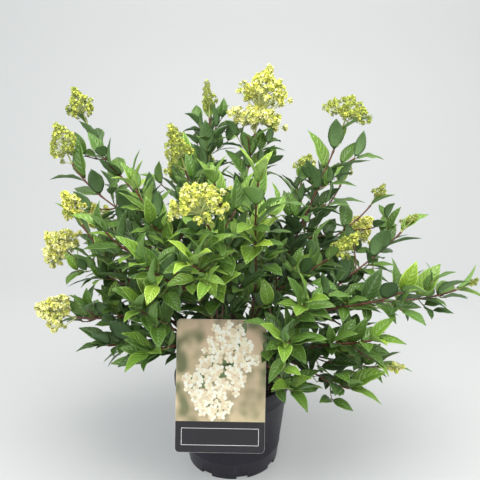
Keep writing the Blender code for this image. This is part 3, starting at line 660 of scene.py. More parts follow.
class Room:
    """What has been placed so far, sorted by cells, and what stays in view from the front."""

    CELL = 0.05
    CARD_DEPTH = 0.14
    CARD_BEHIND = -0.004
    CARD_RIGHT = 0.048
    EYE = Vector((0.012, -0.88, 0.635))
    BLOOM_DEPTH = 0.15
    BLOOM_SHARE = 0.62
    BLOOM_TESTS = (0.35, 0.6, 0.9)

    def __init__(self, card: CardPlace) -> None:
        """Start with an empty room before a card.

        Args:
            card: Where the card hangs.
        """
        self.card = card
        self.to_card = card.matrix().inverted()
        self.cells: dict[tuple[int, ...], list[tuple]] = {}
        self.blooms: list[tuple[Vector, Vector, float]] = []

    def _reach(self, verts: Sequence[Vector]) -> tuple[list[float], list[float], list[tuple[int, ...]]]:
        """Work out how far a shape reaches.

        Args:
            verts: Its vertices.

        Returns:
            Its lowest and highest corner, and the cells that it reaches into.
        """
        low, high = ([pick(v[i] for v in verts) for i in range(3)] for pick in (min, max))
        spans = [range(int(a // self.CELL), int(b // self.CELL) + 1) for a, b in zip(low, high)]
        return low, high, list(itertools.product(*spans))

    def add(self, body: Solid, owner: str) -> None:
        """Add a closed shape.

        Args:
            body: Its vertices and faces.
            owner: Name of its owner.
        """
        low, high, keys = self._reach(body[0])
        item = (low, high, BVHTree.FromPolygons(*body), owner)
        for key in keys:
            self.cells.setdefault(key, []).append(item)

    def touches(self, body: Solid, owner: str, own: bool | None) -> bool:
        """Say whether a shape meets things that have been placed.

        Args:
            body: Its vertices and faces.
            owner: Name of its owner.
            own: True tests the owner's own things, False the others', and None everything.

        Returns:
            True if it meets one of them.
        """
        low, high, keys = self._reach(body[0])
        tree = BVHTree.FromPolygons(*body)
        others = (item for key in keys for item in self.cells.get(key, ()))
        for other_low, other_high, other_tree, other_owner in others:
            if own is not None and (other_owner == owner) != own:
                continue
            if any(low[i] > other_high[i] or high[i] < other_low[i] for i in range(3)):
                continue
            if tree.overlap(other_tree):
                return True
        return False

    def keep(self, centre: Vector, radius: float) -> None:
        """Keep a bloom in view."""
        self.blooms.append((centre, (self.EYE - centre).normalized(), radius * self.BLOOM_SHARE))

    def hides_card(self, points: Sequence[Vector]) -> bool:
        """Say whether any point lies in the space that the card is seen through.

        Args:
            points: The points.

        Returns:
            True if one does.
        """
        left, low = -self.card.width / 2.0, -self.card.below_lip
        for x, y, z in (self.to_card @ point for point in points):
            level, before = low < y < low + self.card.height, self.CARD_BEHIND < z < self.CARD_DEPTH
            if left < x < self.CARD_RIGHT and level and before:
                return True
        return False

    def unfit(self, verts: Sequence[Vector]) -> bool:
        """Say whether a leaf would hang too low, or hide the card or a bloom.

        Args:
            verts: Vertices of its plain stand-in, with its root and its tip first.

        Returns:
            True if it would.
        """
        if min(v.z for v in verts) < GROWTH.lowest_leaf or self.hides_card(verts):
            return True
        for (centre, way, radius), share in itertools.product(self.blooms, self.BLOOM_TESTS):
            offset = verts[0].lerp(verts[1], share) - centre
            depth = offset.dot(way)
            if 0.0 < depth < self.BLOOM_DEPTH and (offset - way * depth).length < radius:
                return True
        return False


class Spray:
    """One mass of foliage: a stem with its side twigs, leaves and sometimes a bloom."""

    YOUNG_FROM = 0.9
    OLD_AND_SHADED_UNTIL = 0.4
    TONE_CHANCE = 0.2
    VIEWED_UNTIL_Y = 0.15
    VIEWED_LEVEL = 0.4

    def __init__(self, name: str, stem: Limb, shoot: Shoot, number: int, room: Room) -> None:
        """Plan the spray.

        Args:
            name: Name of the mass that it stands for.
            stem: The stem's limb.
            shoot: The shoot at its tip.
            number: Its place in the order of all sprays, which sets its draws.
            room: The room that it grows in.
        """
        self.name = name
        self.stem = stem
        self.shoot = shoot
        self.room = room
        self.flowers = shoot.bloom_width > 0.0
        self.draw = random.Random(SEED + 31 * number)
        self.fine_draw = random.Random(FINE_SEED + 17 * number)
        self.leaves: list[Leaf] = []
        self.twigs: list[Twig] = []
        self.plans: list[tuple[LeafPlan, float, float]] = []
        self._plan_nodes()

    def _plan_nodes(self) -> None:
        """Work out the places of the stem's nodes and the leaves and twigs that they carry."""
        rule, draw = GROWTH, self.draw
        run = self.stem.length - (rule.flower_stalk if self.flowers else rule.bare_tip) - rule.first_node
        count = max(2, round(run / rule.internode))
        self.nodes = [rule.first_node + run * (k / count) ** rule.node_crowding for k in range(count + 1)]
        middles = [(a + b) / 2.0 for a, b in zip(self.nodes, self.nodes[1:])]
        self.rings = [0.0, rule.first_node / 2.0, *middles, self.stem.length]
        roll = draw.uniform(0.0, HALF_TURN)
        for k, mark in enumerate(self.nodes):
            share = k / count
            roll += rule.node_turn + draw.uniform(-rule.node_turn_spread, rule.node_turn_spread)
            whorl = 3 if k == count and not self.flowers else 2
            for member in range(whorl):
                opening = rule.leaf_opening + (rule.tip_leaf_opening - rule.leaf_opening) * share ** 2
                opening += draw.uniform(-rule.leaf_opening_spread, rule.leaf_opening_spread)
                length = rule.length_of_leaf(share) * draw.uniform(*rule.leaf_length_spread)
                plan = LeafPlan(roll + 360.0 * member / whorl, opening, length, share)
                twiggy = rule.twig_zone[0] < share < rule.twig_zone[1] and draw.random() < rule.twig_chance
                self.plans.append((plan, mark, draw.uniform(*rule.twig_length) if twiggy else 0.0))
        self.plans.sort(key=lambda item: -item[0].share)

    def tone_at(self, share: float) -> Tone:
        """Draw the tone of a leaf.

        Args:
            share: How far along its stem it grows.

        Returns:
            The tone: mostly the shoot's own, younger at the tip and darker at the foot, where the darker
                tone is older leaf and painted shade for the inside of the plant.
        """
        level = self.shoot.tone.value
        if share > self.YOUNG_FROM and self.shoot.tone is not Tone.DEEP:
            level += 1
        # Leaves near the stem's foot get a darker tone: older leaf, and painted shade for the plant's
        # inside.
        if share < self.OLD_AND_SHADED_UNTIL:
            level -= 1
        if self.fine_draw.random() < self.TONE_CHANCE:
            level += self.fine_draw.choice((-1, 1))
        return Tone(min(max(level, Tone.DEEP.value), Tone.LIME.value))

    def _try_leaf(self, seat: Seat, plan: LeafPlan) -> None:
        """Add a leaf of the solids, unless something is in its way.

        Args:
            seat: Where it grows from.
            plan: How it grows.
        """
        rule, room = GROWTH, self.room
        leaf = Leaf.planned(seat, plan, rule.leaf_root_depth)
        body = leaf.proxy()
        if room.unfit(body[0]) or room.touches(leaf.proxy(rule.leaf_gap), self.name, False):
            return
        cut = min(rule.leaf_cut_most, 3.0 * seat.radius / leaf.length + rule.leaf_cut_base)
        if room.touches(leaf.proxy(rule.leaf_gap, cut), self.name, True):
            return
        room.add(body, self.name)
        leaf.tone = self.tone_at(leaf.share)
        self.leaves.append(leaf)

    def _try_twig(self, mark: float, length: float, axil: LeafPlan) -> None:
        """Add a side twig with its leaves, unless something is in its way.

        Args:
            mark: Distance along the stem.
            length: Length of the twig.
            axil: Plan of the leaf that it stands beside.
        """
        rule, room = GROWTH, self.room
        centre, way = self.stem.chord_at(mark, self.rings), self.stem.way(mark)
        out = side_way(way, axil.turn + rule.twig_axil_turn)
        start_way = (way * rule.twig_start_lean + out).normalized()
        end_way = (way * rule.twig_end_lean + out + UP * rule.twig_lift).normalized()
        end, thin = centre + (start_way + end_way).normalized() * length, rule.twig_radius
        limb = Limb(Run(centre, start_way, end, end_way, thin, thin * rule.twig_taper))
        ends, thick = [0.0, limb.length], rule.twig_test_radius
        body = limb.tube(ends, rule.stem_sides)
        outer = Limb(Run(limb.at(rule.twig_test_start), start_way, end, end_way, thick, thick))
        test = outer.tube(outer.steps(2), rule.stem_sides)
        if (room.touches(body, self.name, False) or room.touches(test, self.name, True)
                or room.hides_card(body[0])):
            return
        room.add(body, self.name)
        roll = self.draw.uniform(0.0, HALF_TURN)
        self.twigs.append(Twig(limb, tuple(limb.length * place for place in rule.twig_nodes), False))
        opening, share = rule.twig_leaf_opening, min(axil.share + rule.twig_youth, 1.0)
        for place, angle, size in rule.twig_leaves:
            at = limb.length * place
            seat = Seat(limb.chord_at(at, ends), limb.way(at), thin)
            self._try_leaf(seat, LeafPlan(roll + angle, opening, rule.leaf_length * size, share))

    def start(self) -> None:
        """Put the stem and the bloom's room in place, before any leaf."""
        self.room.add(self.stem.tube(self.rings, GROWTH.stem_sides), self.name)
        if self.flowers:
            self.room.add(self._bloom_body(), self.name)
            tip, shoot = self.stem.seat(self.stem.length), self.shoot
            if shoot.tip().y < self.VIEWED_UNTIL_Y:
                centre = tip.centre + tip.way * (shoot.bloom_height * self.VIEWED_LEVEL)
                self.room.keep(centre, shoot.bloom_width / 2.0)

    def _bloom_body(self) -> Solid:
        """Lay out the lumpy cone or dome that holds the bloom's room.

        Returns:
            Its vertices and triangles.
        """
        rule, tall, way = GROWTH, self.shoot.bloom_height, self.stem.way(self.stem.length)
        side = across(way, UP)
        foot = self.stem.at(self.stem.length) - way * (tall * rule.bloom_sink)
        verts = [foot]
        for level, swell in rule.bloom_levels:
            for k in range(rule.bloom_sides):
                angle = tau * (k + 0.5 * level) / rule.bloom_sides
                reach = self.shoot.bloom_width / 2.0 * swell * self.draw.uniform(*rule.bloom_reach_spread)
                height = tall * level * self.draw.uniform(*rule.bloom_height_spread)
                verts.append(foot + way * height + spoke(way, side, angle) * reach)
        verts.append(foot + way * tall)
        return verts, closed(1, len(rule.bloom_levels), rule.bloom_sides, 0, len(verts) - 1)

    def grow_one(self) -> bool:
        """Try the next planned leaf and, with some, a side twig in its axil.

        Returns:
            True if a plan was left to try.
        """
        if not self.plans:
            return False
        plan, mark, twig = self.plans.pop(0)
        stem = self.stem
        self._try_leaf(Seat(stem.chord_at(mark, self.rings), stem.way(mark), stem.radius(mark)), plan)
        if twig > 0.0:
            self._try_twig(mark + GROWTH.twig_axil, twig, plan)
        return True


@dataclass(frozen=True)
class FineGrowth:
    """Finer growth that fills one spray out within its reach.

    A pair of leaves is given by its opening and by its least and greatest length, as shares of a
    main leaf.
    """

    spray: Spray
    axil_length: Pair = (0.018, 0.046)
    axil_rise: float = 0.55
    axil_lift: Pair = (0.3, 0.6)
    axil_radii: Pair = (0.0009, 0.0006)
    axil_chance: float = 0.85
    axil_gap: float = 0.003
    axil_turns: Floats = (70.0, 190.0, 310.0)
    axil_pair: Triple = (52.0, 0.36, 0.58)
    pair_marks: Floats = (0.45, 0.96)
    pair_turn: float = 90.0
    test_radius: float = 0.001
    test_start: float = 0.3
    between_pair: Triple = (60.0, 0.50, 0.74)
    full_until: Pair = (0.80, 0.88)
    open_until: Pair = (0.40, 0.60)
    open_reach: float = 0.176
    open_height: float = 0.42
    tip_depth: float = 0.001
    tip_leaves: tuple = ((0.0, 14.0, 0.34), (180.0, 20.0, 0.28))
    bough_from: float = 0.35
    bough_step: float = 0.012
    bough_pair: Triple = (62.0, 0.45, 0.72)
    bough_turn_spread: float = 15.0
    free_part: Pair = (0.22, 0.72)

    def _try_pair(self, seat: Seat, turn: float, pair: Triple, share: float) -> int:
        """Try two small leaves, each of which grows where its middle part is free.

        Args:
            seat: Where they grow from.
            turn: Turn of the first round its limb.
            pair: Opening and lengths of the pair.
            share: How far along their stem they grow.

        Returns:
            How many grew.
        """
        spray, grown = self.spray, 0
        opening, *sizes = pair
        for member in range(2):
            length = GROWTH.leaf_length * spray.fine_draw.uniform(*sizes)
            leaf = Leaf.planned(seat, LeafPlan(turn + HALF_TURN * member, opening, length, share))
            body = leaf.proxy()
            if spray.room.unfit(body[0]):
                continue
            start, part = self.free_part
            test = Leaf(leaf.root + leaf.way * (length * start), leaf.way, leaf.face, length * part, share)
            if spray.room.touches(test.proxy(), spray.name, None):
                continue
            spray.room.add(body, spray.name)
            leaf.tone = spray.tone_at(share)
            spray.leaves.append(leaf)
            grown += 1
        return grown

    def fill(self) -> None:
        """Grow axil twigs, leaves between the nodes and the folded leaves at the tip."""
        spray, draw, stem = self.spray, self.spray.fine_draw, self.spray.stem
        if not spray.flowers:
            tip = stem.seat(stem.length - self.tip_depth)
            turn = draw.uniform(0.0, HALF_TURN)
            for angle, opening, size in self.tip_leaves:
                leaf = Leaf.planned(tip, LeafPlan(turn + angle, opening, GROWTH.leaf_length * size, 1.0))
                leaf.tone = Tone(min(spray.shoot.tone.value + 1, Tone.LIME.value))
                spray.leaves.append(leaf)
        outer = spray.shoot.reach > self.open_reach and spray.shoot.height > self.open_height
        between_until, axil_until = self.open_until if outer else self.full_until
        count = len(spray.nodes) - 1
        for k, node in reversed(list(enumerate(spray.nodes))):
            share = k / count
            roll = draw.uniform(0.0, HALF_TURN)
            if k < count and share < between_until:
                self._try_pair(stem.seat((node + spray.nodes[k + 1]) / 2.0), roll, self.between_pair, share)
            for turn in self.axil_turns:
                if draw.random() < self.axil_chance and share < axil_until:
                    self._axil_twig(node + self.axil_gap, roll + turn, share)

    def _axil_twig(self, mark: float, turn: float, share: float) -> None:
        """Grow one green axil twig with pairs of small leaves, where there is room for it.

        Args:
            mark: Distance along the stem.
            turn: Turn of the twig round the stem.
            share: How far along the stem it grows.
        """
        spray, draw, seat = self.spray, self.spray.fine_draw, self.spray.stem.seat(mark)
        length = draw.uniform(*self.axil_length)
        start_way = (seat.way * self.axil_rise + side_way(seat.way, turn)).normalized()
        end = seat.centre + (start_way + UP * self.axil_lift[0]).normalized() * length
        end_way = (start_way + UP * self.axil_lift[1]).normalized()
        limb = Limb(Run(seat.centre, start_way, end, end_way, *self.axil_radii))
        start, thick = limb.at(length * self.test_start), self.test_radius
        test = Limb(Run(start, start_way, end, start_way, thick, thick))
        body = test.tube([0.0, test.length], GROWTH.stem_sides)
        if spray.room.touches(body, spray.name, None) or spray.room.hides_card(body[0]):
            return
        roll = draw.uniform(0.0, HALF_TURN)
        marks = tuple(limb.length * place for place in self.pair_marks)
        if sum(self._try_pair(limb.seat(at), roll + self.pair_turn * step, self.axil_pair, share)
               for step, at in enumerate(marks)):
            spray.room.add(body, spray.name)
            spray.twigs.append(Twig(limb, marks, True))

    def fill_bough(self, limb: Limb) -> None:
        """Grow leaves straight from the upper part of the spray's bough.

        Args:
            limb: The bough's limb.
        """
        mark, draw = limb.length * self.bough_from, self.spray.fine_draw
        turn = draw.uniform(0.0, HALF_TURN)
        while mark < limb.length:
            self._try_pair(limb.seat(mark), turn, self.bough_pair, 0.0)
            mark += self.bough_step
            turn += self.pair_turn + draw.uniform(-self.bough_turn_spread, self.bough_turn_spread)


@dataclass
class Shrub:
    """The whole plant: its boughs, and the sprays that grow from them."""

    card: CardPlace
    laid: list[tuple[Bough, Limb]] = field(default_factory=list)
    sprays: dict[str, list[Spray]] = field(default_factory=dict)

    @staticmethod
    def _clear_limb(run: Run, others: Sequence[np.ndarray], solids: Sequence[BVHTree]) -> Limb:
        """Find a limb between two ends that is bowed no further than it needs to be.

        Args:
            run: Its ends.
            others: Samples of the limbs that it stays clear of.
            solids: Search trees of the solids that it stays clear of.

        Returns:
            The limb.
        """
        line = (run.end - run.start).normalized()
        side, turns = across(line, UP), GROWTH.bow_turns
        bows = [spoke(line, side, tau * step / turns) * amount
                for amount in GROWTH.limb_bows for step in range(turns)]
        best, best_gap = None, -1.0
        for bow in (None, *bows):
            limb = Limb(run, bow)
            gap = limb.gap(others, solids)
            if gap > GROWTH.limb_gap:
                return limb
            if gap > best_gap:
                best, best_gap = limb, gap
        return best

    @staticmethod
    def _fork_slots(fork: Vector, way: Vector, shoots: Sequence[Shoot]) -> list[Vector]:
        """Share out the places round a fork.

        Args:
            fork: Place of the fork.
            way: Direction of the bough there.
            shoots: The shoots that start there.

        Returns:
            The direction, across the fork, of each shoot's place.
        """
        side = across(way, UP)
        other = way.cross(side)
        tips = [shoot.tip() - fork for shoot in shoots]
        angles = sorted((atan2(tip.dot(other), tip.dot(side)), index) for index, tip in enumerate(tips))
        step = tau / len(shoots)
        offsets = [angle - step * rank for rank, (angle, _) in enumerate(angles)]
        base = atan2(sum(sin(a) for a in offsets), sum(cos(a) for a in offsets))
        slots = [Vector()] * len(shoots)
        for rank, (_, index) in enumerate(angles):
            slots[index] = spoke(way, side, base + step * rank)
        return slots

    def _lay_boughs(self, solids: Sequence[BVHTree]) -> None:
        """Lay out every bough clear of the solids.

        Args:
            solids: Search trees of the solids.
        """
        rule, head = GROWTH, UP * GROWTH.crown_head_height
        placed: list[np.ndarray] = []
        for bough in SHOWN_BOUGHS + FarSide().boughs():
            mean_tip = sum((shoot.tip() for shoot in bough.shoots), Vector()) / len(bough.shoots)
            fork = head.lerp(mean_tip, rule.fork_share)
            start_way = unit(bough.turn, bough.rise)
            start = head + start_way * (rule.crown_head_radius + CLEARANCE)
            end_way = ((mean_tip - fork).normalized() + UP * rule.fork_lift).normalized()
            run = Run(start, start_way, fork, end_way, rule.bough_foot_radius, rule.bough_tip_radius)
            limb = self._clear_limb(run, placed, solids)
            placed.append(limb.samples())
            self.laid.append((bough, limb))

    def _lay_sprays(self, solids: Sequence[BVHTree], room: Room) -> list[Spray]:
        """Lay out the stem of every spray from the fork at its bough's tip.

        Args:
            solids: Search trees of the solids.
            room: The room that they grow in.

        Returns:
            The sprays.
        """
        rule, radii = GROWTH, (GROWTH.stem_foot_radius, GROWTH.stem_tip_radius)
        rows_by_bough = {bough.name: limb.samples() for bough, limb in self.laid}
        stem_rows: list[np.ndarray] = []
        sprays: list[Spray] = []
        for bough, limb in self.laid:
            fork, way = limb.at(limb.length), limb.way(limb.length)
            others = [rows for name, rows in rows_by_bough.items() if name != bough.name]
            others += [rows_by_bough[bough.name][:-rule.fork_samples], *stem_rows]
            slots = self._fork_slots(fork, way, bough.shoots)
            for index, (shoot, slot) in enumerate(zip(bough.shoots, slots), 1):
                start = fork + way * CLEARANCE + slot * rule.fork_slot_radius
                run = Run(start, way, shoot.tip(), rule.tip_way(shoot), *radii)
                stem = self._clear_limb(run, others, solids)
                others.append(stem.samples())
                stem_rows.append(others[-1])
                sprays.append(Spray(f"mass_{bough.name}_{index}", stem, shoot, len(sprays), room))
            self.sprays[bough.name] = sprays[-len(bough.shoots):]
        return sprays

    def grow(self) -> None:
        """Grow the whole plant round the pot, the compost and the card."""
        room, trees = Room(self.card), []
        for node in ("pot", "compost", "crown_stem", "picture_card"):
            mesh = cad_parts[node].data
            mesh.calc_loop_triangles()
            faces = [tuple(triangle.vertices) for triangle in mesh.loop_triangles]
            body = [vertex.co.copy() for vertex in mesh.vertices], faces
            room.add(body, "fixed")
            if node != "crown_stem":
                trees.append(BVHTree.FromPolygons(*body))
        self._lay_boughs(trees)
        sprays = self._lay_sprays(trees, room)
        for _, limb in self.laid:
            room.add(limb.tube(limb.steps(5), 6), "fixed")
        for spray in sprays:
            spray.start()
        while any([spray.grow_one() for spray in sprays]):
            pass
        main_leaves = sum(len(spray.leaves) for spray in sprays)
        for bough, limb in self.laid:
            FineGrowth(self.sprays[bough.name][0]).fill_bough(limb)
        for spray in sprays:
            FineGrowth(spray).fill()
        finer = sum(len(spray.leaves) for spray in sprays) - main_leaves
        log.info("grew %d main leaves and %d finer ones", main_leaves, finer)


# Joined meshes


class Shape:
    """Gathers the vertices, triangles, finishes and map places of one joined mesh."""

    MAP_SCALE = 20.0
    MIDDLE_SHARE = 0.25

    def __init__(self, map_name: str = LIMB_MAP) -> None:
        """Start an empty shape, whose places are kept in a map of the given name."""
        self.map_name, self.count = map_name, 0
        self.parts: list[tuple[np.ndarray, ...]] = []

    def add(self, verts: Sequence, tris: Sequence, finish: Sequence[int] | int = 0,
            places: Sequence | None = None) -> None:
        """Add vertices and triangles.

        Args:
            verts: Rows of x, y and z.
            tris: Rows of three places in verts.
            finish: Number of the finish, for all triangles or for each.
            places: Rows of two map values, one for each vertex.
        """
        verts, tris = np.asarray(verts, float), np.asarray(tris, int)
        places = np.zeros((len(verts), 2)) if places is None else np.asarray(places, float)
        finishes = np.broadcast_to(np.asarray(finish, int), (len(tris),))
        self.parts.append((verts, tris + self.count, finishes, places))
        self.count += len(verts)

    def round_place(self, mark: float, share: float) -> Pair:
        """Return the map place of a point along a limb, at a share of the way round it."""
        return mark * self.MAP_SCALE, abs(2.0 * share - 1.0)

    def limb(self, limb: Limb, marks: Sequence[float], sides: int, radius: Reach,
             finish: Callable[[float], int] = lambda mark: 0) -> None:
        """Add a closed tube along a limb, with its relief and its finishes.

        Args:
            limb: The limb.
            marks: Distances of the rings.
            sides: Number of sides.
            radius: Gives the radius at a mark and an angle.
            finish: Gives the number of the finish at a mark.
        """
        places = [self.round_place(mark, k / sides) for mark in marks for k in range(sides)]
        places += [self.round_place(mark, self.MIDDLE_SHARE) for mark in (marks[0], marks[-1])]
        finishes = [finish(marks[0])] * sides
        for low, high in zip(marks, marks[1:]):
            finishes += [finish((low + high) / 2.0)] * (2 * sides)
        self.add(*limb.tube(marks, sides, radius), finishes + [finish(marks[-1])] * sides, places)

    def rod(self, start: Vector, end: Vector, radii: Pair, sides: int, finish: int) -> None:
        """Add an open-ended straight tube.

        Args:
            start: Middle of its first end.
            end: Middle of its last end.
            radii: Radius at the first and the last end.
            sides: Number of sides.
            finish: Number of the finish.
        """
        way = (end - start).normalized()
        side = across(way, FIRST_RING_SIDE)
        spokes = [spoke(way, side, tau * k / sides) for k in range(sides)]
        verts = [middle + out * radius for middle, radius in zip((start, end), radii) for out in spokes]
        self.add(verts, band(0, 2, sides), finish)

    def build(self, name: str, materials: Sequence[Material], smooth: bool = True) -> bpy.types.Object:
        """Make one object of all that was added.

        Args:
            name: Name of the object.
            materials: Its materials, in the order that the finishes count them.
            smooth: Whether it is shaded smooth.

        Returns:
            The object.
        """
        verts, tris, finishes, places = (np.concatenate(column) for column in zip(*self.parts))
        mesh = bpy.data.meshes.new(name)
        mesh.vertices.add(len(verts))
        mesh.vertices.foreach_set("co", verts.ravel())
        mesh.loops.add(tris.size)
        mesh.loops.foreach_set("vertex_index", tris.ravel())
        mesh.polygons.add(len(tris))
        mesh.polygons.foreach_set("loop_start", np.arange(0, tris.size, 3))
        used = np.unique(finishes)
        for number in used:
            mesh.materials.append(materials[number])
        mesh.polygons.foreach_set("material_index", np.searchsorted(used, finishes))
        mesh.polygons.foreach_set("use_smooth", np.full(len(tris), smooth))
        layer = mesh.uv_layers.new(name=self.map_name)
        layer.data.foreach_set("uv", places[tris.ravel()].ravel())
        mesh.update()
        mesh.validate()
        return put(name, mesh)


def put(name: str, data: bpy.types.ID) -> bpy.types.Object:
    """Put an object in the scene.

    Args:
        name: Its name.
        data: Its mesh, light or camera.

    Returns:
        The object.
    """
    item = bpy.data.objects.new(name, data)
    bpy.context.scene.collection.objects.link(item)
    return item


def dress(piece: bpy.types.Object, slot: Slot, *nodes: str) -> None:
    """Say what a piece rides on and hide the nodes that it stands for.

    Args:
        piece: The piece.
        slot: The record's slot, which is not used.
        nodes: Names of the nodes that it replaces.
    """
    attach(piece, "root")
    if nodes:
        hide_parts(*nodes)
    log.info("%s: %d faces", piece.name, len(piece.data.polygons))


def turned(profile: Sequence[Pair], sides: int,
           place: Callable[[float, float, float], Pair] | None = None) -> Solid:
    """Turn a body round the upright axis.

    Args:
        profile: Radius and height of each ring, from the middle of its underside round to the
            middle of its top.
        sides: Number of sides.
        place: Gives the radius and height of a point from its ring's and its angle.

    Returns:
        Its vertices and triangles.
    """
    verts = [(0.0, 0.0, profile[0][1])]
    for level, height in profile[1:-1]:
        for k in range(sides):
            angle = tau * k / sides
            radius, z = place(level, height, angle) if place else (level, height)
            verts.append((radius * cos(angle), radius * sin(angle), z))
    verts.append((0.0, 0.0, profile[-1][1]))
    return verts, closed(1, len(profile) - 2, sides, 0, len(verts) - 1)


# Shader effects and finishes


class Graph:
    """Short calls for making and joining the nodes of one shader tree."""

    def __init__(self, tree: Tree) -> None:
        """Keep the tree."""
        self.tree = tree

    def make(self, kind: str, values: dict | None = None, **settings: object) -> bpy.types.Node:
        """Make a node.

        Args:
            kind: Type of the node.
            values: Constants or sockets for its inputs, by name or number.
            settings: Its other settings.

        Returns:
            The node.
        """
        node = self.tree.nodes.new(kind)
        for name, value in settings.items():
            setattr(node, name, value)
        for key, value in (values or {}).items():
            if isinstance(value, Socket):
                self.tree.links.new(value, node.inputs[key])
            else:
                node.inputs[key].default_value = value
        return node

    def math(self, operation: str, *terms: object) -> Socket:
        """Return the result of a Math node on constants or sockets."""
        return self.make("ShaderNodeMath", dict(enumerate(terms)), operation=operation).outputs[0]

    def times(self, a: object, b: object) -> Socket:
        """Return the product of constants or sockets."""
        return self.math("MULTIPLY", a, b)

    def ramp(self, *terms: object) -> Socket:
        """Return a value mapped from a low and a high to a first and a last, and kept between them."""
        return self.make("ShaderNodeMapRange", dict(enumerate(terms))).outputs[0]

    def noise(self, place: Socket, scale: object, detail: float = 3.0) -> Socket:
        """Return the value of a noise texture."""
        values = {"Vector": place, "Scale": scale, "Detail": detail}
        return self.make("ShaderNodeTexNoise", values).outputs[0]

    def place(self) -> Socket:
        """Return the place on the object."""
        return self.make("ShaderNodeTexCoord").outputs["Object"]

    def spread(self, name: str) -> tuple[Socket, Socket]:
        """Return the two values of a map."""
        uv = self.make("ShaderNodeUVMap", uv_map=name).outputs[0]
        return tuple(self.make("ShaderNodeSeparateXYZ", {0: uv}).outputs[:2])

    def give(self, **results: Socket) -> None:
        """Join a group's results to its outputs."""
        self.make("NodeGroupOutput", results)


class Effects:
    """Shader node groups that the finishes share, by name. Each is built once."""

    MOTTLE = "mottle"

    def __init__(self) -> None:
        """Build every group."""
        self.groups: dict[str, Tree] = {}
        for build in (self._mottle, self._veins, self._grain, self._scuffs, self._crumbs, self._haze):
            build()

    def _start(self, name: str, outputs: Sequence[str] = ("Height", "Mask"),
               **inputs: object) -> tuple[Graph, bpy.types.bpy_prop_collection]:
        """Start a group.

        Args:
            name: Name of the group.
            outputs: Names of its outputs.
            inputs: First value of each input.

        Returns:
            The group's graph and the sockets that give its inputs.
        """
        tree = self.groups[name] = bpy.data.node_groups.new(name, "ShaderNodeTree")
        rows = [("INPUT", title) for title in inputs] + [("OUTPUT", title) for title in outputs]
        for way, title in rows:
            kind = "NodeSocketColor" if title == "Colour" else "NodeSocketFloat"
            socket = tree.interface.new_socket(title, in_out=way, socket_type=kind)
            if way == "INPUT":
                socket.default_value = inputs[title]
        graph = Graph(tree)
        return graph, graph.make("NodeGroupInput").outputs

    def _mottle(self) -> None:
        """Make the group that varies a colour's brightness and hue in soft patches."""
        graph, given = self._start(self.MOTTLE, ["Colour"], Colour=(0.5, 0.5, 0.5, 1.0), Scale=60.0,
                                   Amount=0.15, Hue=0.0)
        place = graph.place()
        patches = graph.math("SUBTRACT", graph.noise(place, given["Scale"]), 0.5)
        wide = graph.math("SUBTRACT", graph.noise(place, graph.times(given["Scale"], 0.31), 1.0), 0.5)
        bright = graph.math("MULTIPLY_ADD", graph.times(patches, given["Amount"]), 3.0, 1.0)
        hue = graph.math("MULTIPLY_ADD", wide, given["Hue"], 0.5)
        values = {"Hue": hue, "Saturation": 1.0, "Value": bright, "Color": given["Colour"]}
        graph.give(Colour=graph.make("ShaderNodeHueSaturation", values).outputs[0])

    def _veins(self) -> None:
        """Make the group that draws a leaf's arching side veins from its map."""
        graph, given = self._start(Pattern.VEINED.value, Pairs=6.5, Sweep=2.3)
        along, sideways = graph.spread(LEAF_MAP)
        out = graph.times(graph.math("ABSOLUTE", graph.math("SUBTRACT", sideways, 0.5)), 2.0)
        bend = graph.times(graph.math("POWER", out, 1.5), given["Sweep"])
        phase = graph.math("FRACT", graph.math("SUBTRACT", graph.times(along, given["Pairs"]), bend))
        nearness = graph.times(graph.math("ABSOLUTE", graph.math("SUBTRACT", phase, 0.5)), 2.0)
        line, fade = graph.ramp(nearness, 0.72, 1.0), graph.ramp(out, 0.55, 1.0, 1.0, 0.15)
        pillow = graph.math("SUBTRACT", 1.0, graph.math("POWER", nearness, 3.0))
        graph.give(Height=pillow, Mask=graph.times(line, fade))

    def _grain(self) -> None:
        """Make the group that draws bark: long ridges with pale pores between them."""
        graph, given = self._start(Pattern.WOODY.value, Length=1.0, Round=7.0)
        along, turn = graph.spread(LIMB_MAP)
        parts = {0: graph.times(along, given["Length"]), 1: graph.times(turn, given["Round"])}
        place = graph.make("ShaderNodeCombineXYZ", parts).outputs[0]
        spots = graph.make("ShaderNodeTexVoronoi", {"Vector": place, "Scale": 3.1})
        pores = graph.ramp(spots.outputs["Distance"], 0.10, 0.22, 1.0, 0.0)
        height = graph.math("ADD", graph.noise(place, 2.6, 4.0), graph.times(pores, 0.5))
        graph.give(Height=height, Mask=pores)

    def _scuffs(self) -> None:
        """Make the group that draws handling marks and dust on plastic or coated board."""
        graph, given = self._start(Pattern.SCUFFED.value, Scale=40.0)
        place = graph.place()
        drawn = graph.make("ShaderNodeMapping", {"Vector": place, "Scale": (1.0, 1.0, 0.22)}).outputs[0]
        streaks = graph.noise(drawn, graph.times(given["Scale"], 5.0), 5.0)
        patches = graph.ramp(graph.noise(place, given["Scale"]), 0.46, 0.62)
        fine = graph.noise(place, graph.times(given["Scale"], 40.0), 2.0)
        graph.give(Height=fine, Mask=graph.times(graph.ramp(streaks, 0.56, 0.72), patches))

    def _crumbs(self) -> None:
        """Make the group that draws moist compost: crumbs with pale fibres among them."""
        graph, given = self._start(Pattern.CRUMBLY.value, Scale=350.0)
        place = graph.place()
        cells = graph.make("ShaderNodeTexVoronoi", {"Vector": place, "Scale": given["Scale"]})
        fibres = graph.noise(place, graph.times(given["Scale"], 1.7), 4.0)
        height = graph.math("SUBTRACT", fibres, cells.outputs["Distance"])
        graph.give(Height=height, Mask=graph.ramp(fibres, 0.58, 0.70))

    def _haze(self) -> None:
        """Make the group that draws the unsharp ground of a printed picture: soft dark patches."""
        graph, given = self._start(Pattern.HAZY.value, Scale=34.0)
        blur = graph.noise(graph.place(), given["Scale"], 1.0)
        graph.give(Height=blur, Mask=graph.ramp(blur, 0.42, 0.66))


